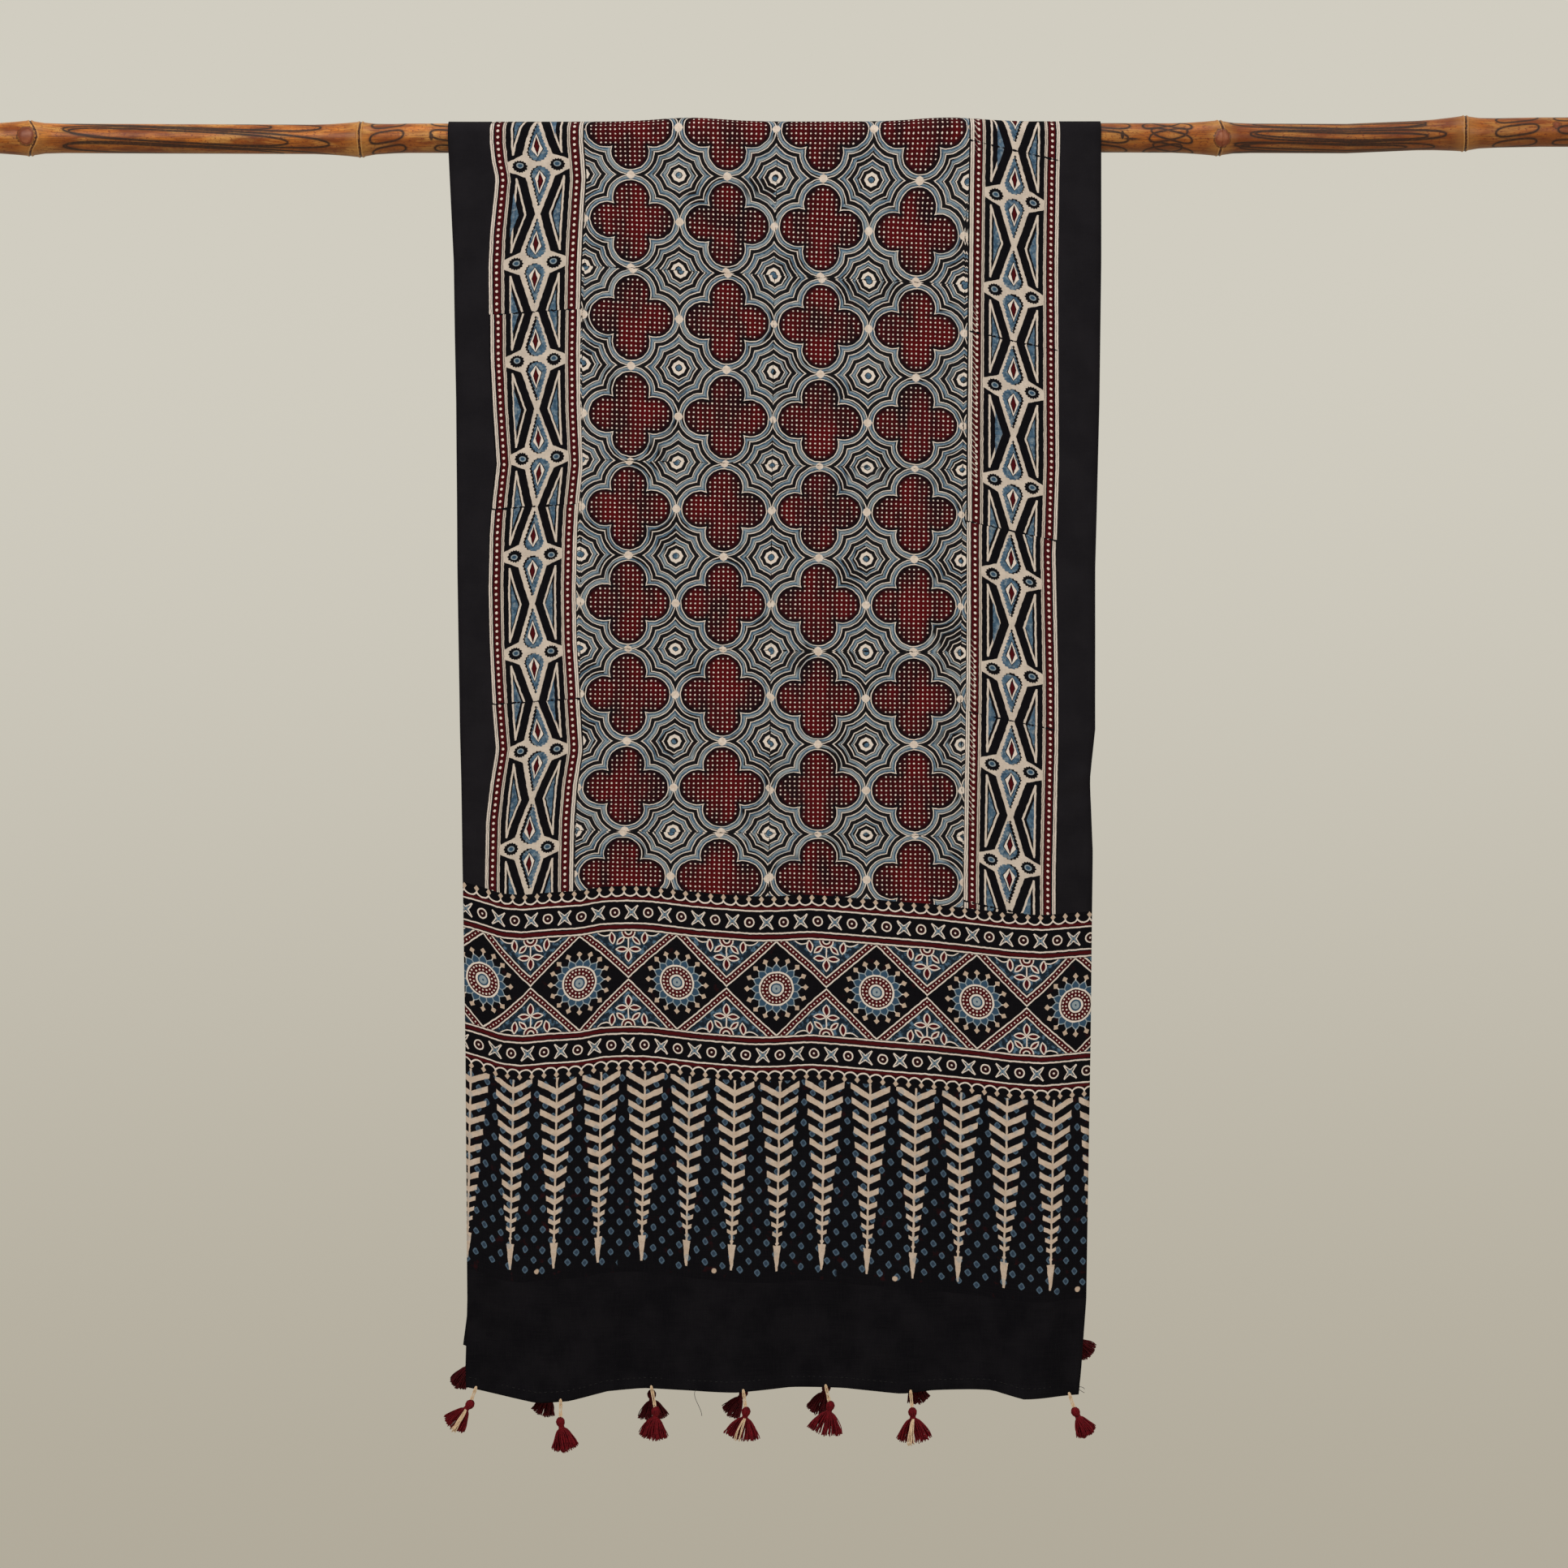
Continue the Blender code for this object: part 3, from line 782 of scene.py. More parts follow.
def shell(points, thickness):
    """The closed surface of a sheet: its middle, a grid of points, moved out and in by half its
    thickness along the normals, and joined round the edge."""
    rows, columns = points.shape[:2]
    normal = np.cross(np.gradient(points, axis=1), np.gradient(points, axis=0))
    normal /= np.linalg.norm(normal, axis=-1, keepdims=True)
    half = normal * thickness[..., None] / 2
    sheet = grid_faces(rows, columns)
    count = rows * columns
    index = np.arange(count).reshape(rows, columns)
    loop = np.concatenate([index[0, :-1], index[:-1, -1], index[-1, :0:-1], index[:0:-1, 0]])
    after = np.roll(loop, -1)
    rim = np.stack([after, loop, loop + count, after + count], axis=1)
    return np.concatenate([points + half, points - half]), [sheet, sheet[:, ::-1] + count, rim]


# The prints
# Ajrakh is printed with carved blocks: first the cream lines as a resist, then black, then the dye
# baths of madder and indigo. Each block's colours land a millimetre or so out of place, edges are
# uneven, and the black and the red are blotchy where the paste took unevenly.

BLACK = seen(13, 12, 16)
# A greyer black, for painted light on the upper cloth and for its cloudy tone.
LIT_AND_CLOUDY_GREY = seen(32, 30, 34)
BRIGHT_MADDER = seen(82, 12, 16)
MADDER = seen(72, 14, 18)
DARK_MADDER = seen(40, 13, 16)
CREAM = seen(225, 212, 202)
SOFT_CREAM = seen(208, 194, 182)
TAN = seen(190, 168, 150)
PALE = seen(142, 153, 160)
INDIGO = seen(84, 111, 134)
DEEP_INDIGO = seen(52, 77, 100)
FAINT_INDIGO = seen(52, 68, 88)
WASHED_INDIGO = seen(84, 106, 126)
WEAVE_PITCH = 0.55


def cotton_weave():
    """A node group: the relief of a plain weave, from threads that cross over and under each other,
    and the slight unevenness in tone of hand-spun yarn."""
    group = bpy.data.node_groups.new("cotton weave", "ShaderNodeTree")
    for name, kind, flow in (
        ("Across", "NodeSocketFloat", "INPUT"),
        ("Down", "NodeSocketFloat", "INPUT"),
        ("Colour", "NodeSocketColor", "INPUT"),
        ("Colour", "NodeSocketColor", "OUTPUT"),
        ("Normal", "NodeSocketVector", "OUTPUT"),
    ):
        group.interface.new_socket(name=name, socket_type=kind, in_out=flow)
    enter = group.nodes.new("NodeGroupInput")
    leave = group.nodes.new("NodeGroupOutput")
    across, down = Reading(enter.outputs["Across"]), Reading(enter.outputs["Down"])
    warp = (across * (math.pi / WEAVE_PITCH)).worked("SINE")
    weft = (down * (math.pi / WEAVE_PITCH)).worked("SINE")
    slub = noise(point_of(across, down * 0.06), 0.9, detail=2.0)
    bar = noise(point_of(across * 0.05, down), 1.1, detail=2.0)
    cloud = noise(point_of(across, down), 42.0, detail=3.0)
    height = warp * weft + slub[0] * 0.8 + bar[0] * 0.8
    tone = (slub[1] + bar[1] - 1.0).worked("MULTIPLY_ADD", 0.5, 0.9) + (cloud[0] - 0.5) * 0.3
    mixed = painted(enter.outputs["Colour"], seen(40, 38, 40), (1.0 - tone) * 0.35)
    feed(leave.inputs["Colour"], mixed)
    feed(leave.inputs["Normal"], relief(height, 0.12, 0.35))
    return group


COTTON_WEAVE = cotton_weave()


def cotton(name, pattern):
    """A cotton material, with a pattern that works out its colour from the cloth's map."""
    material, shader = new_material(name, {"Roughness": 0.86, "Specular IOR Level": 0.04})
    across, down = map_readings(material.node_tree)
    weave = placed(material.node_tree, "ShaderNodeGroup", node_tree=COTTON_WEAVE)
    for socket, value in (("Across", across), ("Down", down), ("Colour", pattern(across, down))):
        feed(weave.inputs[socket], value)
    feed(shader.inputs["Base Color"], weave.outputs["Colour"])
    feed(shader.inputs["Normal"], weave.outputs["Normal"])
    return material


def hand_printed(across, down, reach=0.7):
    """The same place, moved a little by an uneven hand and a soft block's edge."""
    fine = noise(point_of(across, down), 5.0, detail=2.0)
    return across + (fine[0] - 0.5) * (2 * reach), down + (fine[1] - 0.5) * (2 * reach)


def black_ground(across, down, red_share=0.28):
    """The black of a printed ground, which shows a little red through where the paste lay thin."""
    lumps = noise(point_of(across, down), 12.0, detail=3.0, roughness=0.6)
    return painted(BLACK, DARK_MADDER, (1 - red_share - lumps[0]).inside(0.16))


def plain_print(across, down):
    """The black of the margins and the ends: cloudy, and greyer as painted light in the upper part of each
    drop.
    """
    cloud = noise(point_of(across, down), 30.0, detail=3.0)
    # Painted light: the black greys where each drop is less than about 700 mm down, as if lit brighter there;
    # the cloud adds uneven tone.
    top_light_and_cloud = (abs(down) - 700).inside(260) * 0.6 + (0.5 - cloud[0]).inside(0.3) * 0.25
    return painted(BLACK, LIT_AND_CLOUDY_GREY, top_light_and_cloud)


BLOCK = 2 * FIELD_PITCH
LOBE_SHIFT = 19.8
LOBE_RADIUS = 15.4
SEAM_HALF = 0.1
HEART_RADIUS = 20.4
DOT_PITCH = 3.9
DOT_RADIUS = 0.68
DOTS_END = -2.1
RING_SPAN = 40
CREAM_RINGS = rows_of(Stripe,
    (0, CREAM), (0.8, BLACK), (4.1, CREAM), (4.85, BLACK), (7.9, CREAM), (8.7, BLACK), (12.3, CREAM),
    (13.0, BLACK), (16.2, CREAM), (17.0, BLACK), (20.3, CREAM), (21.1, BLACK), (24.0, CREAM),
    (26.6, BLACK),
)
BLUE_ROOM = rows_of(Stripe,
    (0, BLACK), (1.2, CREAM), (3.6, BLACK), (9.2, CREAM), (11.8, BLACK), (17.5, CREAM), (19.7, BLACK),
    (27.2, CREAM),
)


def quatrefoil(across, down):
    """How far a point is outside its rosette: the nearest of four round lobes and the round heart
    between them. Both readings are distances from the rosette's middle lines."""
    far, near = across.most(down), across.least(down)
    return ((far - LOBE_SHIFT).length(near) - LOBE_RADIUS).least(far.length(near) - HEART_RADIUS)


def strength_of(colour):
    """How light a black-and-cream ramp is at a point, from 0 to 1."""
    return parts_of(colour)[0].worked("MULTIPLY", 1.33, clamp=True)


def field_print(across, down):
    """Rings about rosettes on a square grid, as bands of the distance from the nearest rosette,
    with a cream knot between neighbours and rows of small dots in each rosette. Blocks of two by two
    rosettes are each slid a little, and the blue by another chance."""
    across, down = hand_printed(across, down, 0.5)
    column_of, row_of = ((part + FIELD_PITCH / 2) / BLOCK for part in (across, down))
    slip = chance(point_of(column_of.below(), row_of.below()))
    seam = (column_of * BLOCK).nearest(BLOCK).least((row_of * BLOCK).nearest(BLOCK))
    across, down = across + (slip[0] - 0.5) * 2.8, down + (slip[1] - 0.5) * 2.6
    x, y = across.nearest(FIELD_PITCH), down.nearest(FIELD_PITCH)
    reach = quatrefoil(x, y)
    stray = noise(point_of(across, down), 46.0, detail=1.0)
    blue_x = (across + (stray[0] - 0.5) * 6.5 + (slip[2] - 0.5) * 1.6).nearest(FIELD_PITCH)
    blue_y = (down + (stray[1] - 0.5) * 6.5).nearest(FIELD_PITCH)
    blue = strength_of(striped(quatrefoil(blue_x, blue_y) + 0.2, RING_SPAN, BLUE_ROOM))
    room = strength_of(striped(reach, RING_SPAN, BLUE_ROOM))
    cream = strength_of(striped(reach, RING_SPAN, CREAM_RINGS)) * (reach * -1).inside(0.25)
    tone = noise(point_of(across, down), 4.0, detail=3.0, roughness=0.6)
    ground = black_ground(across, down, 0.26)
    missed = painted(BLACK, PALE, (0.5 - stray[2]).inside(0.1))
    indigo = Laid(DEEP_INDIGO).lay(INDIGO, (0.47 - tone[0]).inside(0.3))
    stroke = strength_of(striped(reach + 0.6 + tone[1] * 1.6, RING_SPAN, BLUE_ROOM))
    indigo.lay(PALE, (1 - stroke) * 0.7)
    print_ = Laid(ground).lay(painted(missed, indigo.colour, blue), room)
    print_.lay(painted(CREAM, PALE, blue * 0.5), cream)
    edge_x, edge_y = (x - FIELD_PITCH / 2), (y - FIELD_PITCH / 2)
    knot = abs(edge_x).most(y).least(x.most(abs(edge_y))) * 0.5
    knot = knot + (abs(edge_x) + y).least(x + abs(edge_y)) * 0.5 - 3.7
    print_.lay(painted(CREAM, TAN, (0.5 - tone[1]).inside(0.4) * 0.6), knot.inside())
    worn = noise(point_of(across, down * 0.5), 24.0, detail=3.0, roughness=0.6)
    heart = Laid(BRIGHT_MADDER).lay(DARK_MADDER, (0.52 - worn[0]).inside(0.3))
    heart.lay(BLACK, (0.6 - worn[1]).inside(0.12) * 0.4)
    heart = painted(BLACK, heart.colour, (reach + 3.2).inside(5.5))
    print_.lay(heart, (reach + 0.1).inside())
    dot_x, dot_y = ((part / DOT_PITCH + 0.5).below() * DOT_PITCH for part in (x, y))
    whole = (quatrefoil(dot_x, dot_y) - DOTS_END).inside(0.01)
    dot = ((x - dot_x).length(y - dot_y) - DOT_RADIUS + (tone[2] - 0.5) * 0.6).inside(0.35)
    print_.lay(CREAM, dot * whole)
    gap = (seam - SEAM_HALF - (0.48 - tone[2]) * 3.0).inside(0.3) * (reach * -1).inside(0.3)
    return print_.lay(BLACK, gap).colour


LATTICE_MIDDLE = BORDER_WIDTH / 2
BORDER_DOT_PITCH = 5.2
BORDER_EDGE = 2
BORDER_STRIPES = rows_of(Stripe,
    (0, BLACK), (2.2, CREAM), (5.0, BLACK), (6.2, MADDER), (11.7, BLACK), (12.6, SOFT_CREAM),
    (68.3, BLACK), (69.1, MADDER), (74.8, BLACK), (75.7, CREAM), (78.8, BLACK),
)
KITE_WIDEST = 10.5
KITE_HALF = 8.6
KITE_SLOPE = 0.322
STROKES_MIDDLE = 3457
STROKES_APART = 291
STROKES_HALF = 75


def toothed(reading, pitch, depth):
    """A saw's teeth along an edge, from 0 to depth."""
    return reading.nearest(pitch) * (2 * depth / pitch)


def triangle(w, t):
    """How far inside the border's cream triangle a point is: w from the middle line, t from the row
    of rosettes. Two straight sides and a cut corner."""
    slant = (w - 2.5) * 0.95 + (t - BORDER_PITCH / 2) * 0.312
    return (slant - 6.4).least(21.2 - w).least(t - 9.5), slant


def kite_reach(w, t):
    """How far a point is outside the toothed kite: a half circle at its round end, and straight sides
    to the point at the other."""
    side = (w + (t - KITE_WIDEST) * KITE_SLOPE - KITE_HALF) / 1.05
    return side.most(w.length((t - KITE_WIDEST).least(0.0)) - KITE_HALF)


def border_print(across, down):
    """Cream and black lines with dots either side of a lattice: on cream, black triangles point to the
    middle with a cream and a blue one inside each, toothed kites of black and blue between them, and
    toothed rosettes where they meet."""
    block = ((down + BORDER_PITCH / 2) / (2 * BORDER_PITCH)).below()
    seam = (down + BORDER_PITCH / 2).nearest(2 * BORDER_PITCH)
    slip = chance(point_of(block, block * 0.7))
    across, down = across + (slip[0] - 0.5) * 1.4, down + (slip[1] - 0.5) * 1.6
    plain_across = across
    across, down = hand_printed(across, down, 0.5)
    middle = (across + plain_across) * 0.5 + BORDER_EDGE
    print_ = Laid(striped(middle, BORDER_WIDTH + 5, BORDER_STRIPES))
    worn = noise(point_of(across, down), 9.0, detail=3.0)
    print_.lay(BLACK, (0.5 - worn[0]).inside(0.3) * 0.12)
    dot_x = abs(plain_across - 6.6).least(abs(plain_across - 69.8))
    print_.lay(CREAM, (dot_x.length(down.nearest(BORDER_DOT_PITCH)) - 1.15).inside())
    tone = noise(point_of(across, down), 4.0, detail=3.0, roughness=0.6)
    stroke = abs((down + across * 0.9).nearest(4.8)) - tone[1] * 0.9
    stroke = stroke.most(abs(across - 71.6) - 2.2).inside()
    run = ((down - STROKES_MIDDLE).nearest(STROKES_APART) - STROKES_HALF).inside(16)
    print_.lay(SOFT_CREAM, stroke * run * (STROKES_MIDDLE / 2 - down).inside(1) * 0.8)
    w, t = abs(across - LATTICE_MIDDLE), down.nearest(BORDER_PITCH)
    print_.lay(BLACK, (abs(abs(w - 31.7) - 5.1) - 0.22).inside())
    stray = chance(point_of((down / BORDER_PITCH).below(), (across / LATTICE_MIDDLE).below()))
    blue_x = across + (stray[0] - 0.5) * 2.0 + (stray[2] - 0.8).most(0.0) * 16
    blue_y = down + (stray[1] - 0.5) * 3.0
    blue_w, blue_t = abs(blue_x - LATTICE_MIDDLE), blue_y.nearest(BORDER_PITCH)
    indigo = Laid(DEEP_INDIGO).lay(INDIGO, (0.5 - tone[0]).inside(0.3))
    indigo.lay(PALE, (0.58 - tone[1]).inside(0.16) * 0.6)
    inner, slant = triangle(w, t)
    corner = (w - 25.2) * 0.38 + (t - 4.6) * 0.925
    outer = slant.least(corner).least(25.2 - w)
    print_.lay(BLACK, (-0.3 - outer).inside())
    print_.lay(SOFT_CREAM, (0.15 - inner).inside())
    print_.lay(BLACK, (1.8 - inner).inside())
    blue_inner = triangle(blue_w, blue_t)[0]
    patch = (2.9 - blue_inner).most(16 - blue_t).inside()
    print_.lay(indigo.colour, patch * (w - 25.6).inside() * (outer * -1).inside() * 0.95)
    kite_t = (down + 1.5).nearest(BORDER_PITCH)
    tooth = toothed(kite_t + w * 0.4, 2.7, 1.0)
    kite = kite_reach(w, kite_t)
    print_.lay(BLACK, (kite + tooth - 0.3).inside())
    nudge = chance(point_of((down / BORDER_PITCH + 0.5).below(), down * 0))
    blue_w = abs(across - LATTICE_MIDDLE - 1.3 + (nudge[0] - 0.5) * 1.2)
    blue_kite = kite_reach(blue_w, (down + 1.2 + (nudge[1] - 0.5) * 1.2).nearest(BORDER_PITCH))
    print_.lay(indigo.colour, (blue_kite + 0.2 + tooth * 0.9).inside() * 0.96)
    above, below = (kite_t - 12.2) * 0.344 + w * 0.939, (12.2 - kite_t) * 0.588 + w * 0.809
    kernel = (above - 4.5).most(below - 3.9)
    print_.lay(BLACK, (kernel - 0.5 - (across - LATTICE_MIDDLE) * 0.05).inside())
    print_.lay(CREAM, kernel.inside())
    seed = abs(kite_t - 14.8) * 0.3 + w - 1.9
    print_.lay(BLACK, (seed - 0.6).inside())
    print_.lay(MADDER, seed.inside())
    side_w = w - 15.9
    rosette = (side_w / 6.6).length(t / 5.4) - 1 + toothed(t.turn(side_w), math.pi / 7, 0.15)
    print_.lay(BLACK, (rosette * 5.5).inside())
    eye_x, eye_y = w - 15.9 + (nudge[1] - 0.5) * 1.6, abs(down + (nudge[2] - 0.5) * 1.6).nearest(BORDER_PITCH)
    eye = (eye_x / 3.0).length(eye_y / 2.3) - 1
    print_.lay(PALE, (eye * 2.6).inside())
    print_.lay(DEEP_INDIGO, (eye * 2.6 + 0.9).inside(0.6))
    return print_.lay(BLACK, (seam - 0.1 - (0.6 - tone[2]) * 4.0).inside(0.3)).colour


BAND_MIDDLE = 65.3
SMALL_PITCH = 28.5
SCALLOP_PITCH = 10.56
BAND_SPAN = 80
BAND_STRIPES = rows_of(Stripe,
    (0, BLACK), (40.1, CREAM), (41.3, BLACK), (42.2, MADDER), (44.8, BLACK), (45.9, CREAM),
    (47.1, BLACK), (64.8, CREAM), (66.0, BLACK), (66.6, MADDER), (68.6, DARK_MADDER), (69.9, BLACK),
)
FRAME_STRIPES = rows_of(Stripe,
    (0, CREAM), (1.1, BLACK), (1.7, MADDER), (4.9, BLACK), (5.5, CREAM), (6.6, BLACK),
    (7.4, DEEP_INDIGO),
)
DISC_STRIPES = rows_of(Stripe,
    (0, DEEP_INDIGO), (0.9, PALE), (3.4, DEEP_INDIGO), (4.8, CREAM), (6.4, BLACK), (6.8, MADDER),
    (12.7, BLACK), (13.1, CREAM), (14.6, DEEP_INDIGO),
)
Leaf = namedtuple("Leaf", "across up angle half_length half_width")
FLOWER_LEAVES = rows_of(Leaf,
    (0.0, 20.2, 90, 5.2, 2.9), (5.6, 14.6, 0, 5.4, 2.5), (6.6, 7.2, 42, 4.8, 2.2),
    (13.8, 4.9, 97, 5.4, 2.7),
)


def lens(across, up, leaf):
    """How far a point is outside a pointed leaf: its half width shrinks with the square of the way
    from its middle to its tip."""
    cos, sin = math.cos(math.radians(leaf.angle)), math.sin(math.radians(leaf.angle))
    x, y = across - leaf.across, up - leaf.up
    along = (x * cos + y * sin) / leaf.half_length
    return abs(y * cos - x * sin) + along * along * leaf.half_width - leaf.half_width


def medallion(ground, x, y):
    """A rayed disc: rings of cream, red with two circles of dots, and blue cells behind a cream zigzag,
    with a small cream square at the end of each of sixteen rays."""
    ray = math.pi / 8
    radius, angle = x.length(y), y.turn(x)
    turn = angle.nearest(ray)
    aside = turn * radius
    zigzag = 20.6 - turn * (3.4 / (ray / 2))
    print_ = Laid(ground)
    print_.lay(DEEP_INDIGO, (radius - zigzag).inside())
    print_.lay(PALE, (abs(radius - zigzag) - 0.55).inside())
    print_.lay(PALE, ((ray / 2 - turn) * radius - 0.45).most(radius - 17.5).inside())
    print_.lay(CREAM, (aside - 0.45).most(radius - 23).most(20.5 - radius).inside())
    print_.lay(TAN, (aside + abs(radius - 24.4) - 2.5).inside())
    print_.lay(striped(radius, 16, DISC_STRIPES), (radius - 14.6).inside())
    inner_dot = (turn * 8.4).length(radius - 8.4)
    outer_dot = (angle.nearest(math.pi / 12) * 11.4).length(radius - 11.4)
    return print_.lay(CREAM, (inner_dot.least(outer_dot) - 0.75).inside()).colour


def triangle_flower(across, up, tone):
    """The blue triangle between two diamonds: half a rosette on its base, a stem with three red
    leaves, and a leaf to either side, all edged in cream."""
    print_ = Laid(INDIGO).lay(DEEP_INDIGO, (0.46 - tone).inside(0.3))
    print_.lay(BLACK, (0.42 - tone).inside(0.14) * 0.8)
    leaves = None
    for leaf in FLOWER_LEAVES:
        reach = lens(across, up, leaf)
        leaves = reach if leaves is None else leaves.least(reach)
    stem = (across - 0.55).most(up - 14).inside()
    print_.lay(CREAM, stem)
    print_.lay(CREAM, (leaves - 0.2).inside())
    print_.lay(MADDER, (leaves + 1.0).inside())
    dome = across.length(up + 0.5)
    for colour, size in ((CREAM, 6.2), (MADDER, 5.2), (CREAM, 3.3), (BLACK, 2.2)):
        print_.lay(colour, (dome - size).inside())
    hill = (across - 19.5) * (across - 19.5) * 0.07 + up - 2.8
    print_.lay(CREAM, (hill - 0.5).most(16 - across).inside())
    return print_.lay(BLACK, (hill + 0.5).most(16 - across).inside()).colour


def band_print(across, down):
    """The end border, the same above and below its middle: scallops with beads, a strip of rings and
    butterflies, cream and red lines, and a row of diamonds with a rayed disc in each."""
    across, down = hand_printed(across, down, 0.45)
    lower = (BAND_MIDDLE - down).inside(0.1)
    height = abs(down - BAND_MIDDLE)
    tone = noise(point_of(across, down), 5.0, detail=3.0, roughness=0.6)
    x = across.nearest(MEDALLION_PITCH)
    frame = x * 0.68 + height * 0.733 - 28.4
    along = x * 0.733 - height * 0.68
    print_ = Laid(medallion(black_ground(across, down), x, height))
    flower = triangle_flower(MEDALLION_PITCH / 2 - x, 39.2 - height, tone[0])
    print_.lay(striped(frame, 10, FRAME_STRIPES), (frame * -1).inside())
    print_.lay(flower, (7.2 - frame).inside())
    print_.lay(CREAM, (abs(frame - 3.35).length(along.nearest(3.4)) - 0.62).inside())
    print_.lay(striped(height, BAND_SPAN, BAND_STRIPES), (39.6 - height).inside())
    small = (across + lower * 3.1 - 6.0).nearest(SMALL_PITCH)
    rise = height - 55.8
    for colour, size in ((CREAM, 4.3), (DARK_MADDER, 3.2), (CREAM, 0.85)):
        print_.lay(colour, (small.length(rise) - size).inside())
    wing_x = SMALL_PITCH / 2 - small
    wing = ((wing_x - abs(rise) * 0.62 - 2.6) * 0.85).most((abs(rise) - wing_x * 0.75 - 2.4) * 0.8)
    wing = wing.most((wing_x + abs(rise) - 11.4) * 0.7)
    print_.lay(CREAM, wing.inside())
    print_.lay(BLACK, (wing + 0.9).inside())
    print_.lay(INDIGO, (wing + 1.3 + (tone[1] - 0.5) * 1.2).inside())
    vein = abs(wing_x - rise * rise * 0.05 - 1.2) - 0.35
    print_.lay(PALE, vein.most(wing).inside() * 0.8)
    scallop = (across + lower * 4.6 + 2.0).nearest(SCALLOP_PITCH)
    arc = (SCALLOP_PITCH / 2 - scallop).length(height - 75.4) - 6.1
    print_.lay(BLACK, arc.most(66.5 - height).inside())
    print_.lay(BLACK, (72.6 - height).inside())
    print_.lay(CREAM, (abs(arc) - 0.6).most(height - 73.6).inside())
    print_.lay(CREAM, (scallop - 0.6).most(abs(height - 72.8) - 1.4).inside())
    bead = scallop / 2.2 + abs(height - 75.3) / 2.7 - 1
    return print_.lay(TAN, (bead * 2).inside()).colour


FIRST_LEAF = 20.7
LEAF_PITCH = 11.75
LEAF_SLOPE = 0.55
LEAF_COUNT = 12
SPIKE_TOP = 151
SPIKE_FOOT = 172.5
SCATTER = (7.35, 8.65)


def leaf_print(across, down):
    """Plants that hang point down, 38 mm apart: pairs of leaves in a V on a thin stem, each pair
    shorter than the one above, and a long spike at the foot, over a slanting scatter of small indigo
    squares."""
    across, down = hand_printed(across, down, 0.55)
    tone = noise(point_of(across, down), 6.0, detail=3.0, roughness=0.6)
    slanted = down - across * 0.14
    falling, rising = across / SCATTER[0] + slanted / SCATTER[1], across / SCATTER[0] - slanted / SCATTER[1]
    i, j = falling.nearest(2), rising.nearest(2)
    square = (i * i).length(j * j).worked("SQRT") * 7.5
    squares = (square - 3.1 + (tone[1] - 0.5) * 0.9).inside(0.5)
    last, first = ((part / 2 + 0.5).below() * 2 for part in (rising, falling))
    middle = (first - last) * (SCATTER[1] / 2) + across * 0.14
    squares = squares * (middle - 174).inside()
    faint = painted(FAINT_INDIGO, WASHED_INDIGO, (1.9 - square).inside(0.8))
    print_ = Laid(black_ground(across, down)).lay(faint, squares * 0.85)
    w = across.nearest(STEM_PITCH)
    plant = chance(point_of((across / STEM_PITCH + 0.5).below(), across * 0))
    level = down + w * LEAF_SLOPE - FIRST_LEAF + (plant[0] - 0.5) * 3.0
    late = (level - 82).most(0.0)
    count = level / LEAF_PITCH + late * late * 0.00065
    pair = count.below()
    part = count - pair
    reach = w - 16.4 + pair * 1.13
    arm = (abs(part - 0.24) - 0.22) * LEAF_PITCH
    leaf = arm.most(reach * 0.9).most(-0.5 - pair).most((pair - LEAF_COUNT + 0.5) * 5)
    stem = (w - 0.8 - (0.2 - abs(part - 0.24)).most(0.0) * 4).most(10 - down).most(down - SPIKE_TOP - 1)
    spike = (w - 3.3 + (down - SPIKE_TOP) * 0.12).most(SPIKE_TOP - down).most(down - SPIKE_FOOT)
    plants = leaf.least(stem).least(spike)
    under = squares * (0.52 - plant[1]).inside(0.5) * 0.45
    leaf_colour = painted(painted(TAN, CREAM, (0.5 - tone[0]).inside(0.5) * 0.4), PALE, under)
    print_.lay(leaf_colour, plants.inside(0.35))
    spot = (across - 1.62 * STEM_PITCH).nearest(4 * STEM_PITCH).length(down - 174) - 2.1
    return print_.lay(TAN, spot.inside(0.5)).colour


PARTS = ("field", "band", "leaves", "plain")


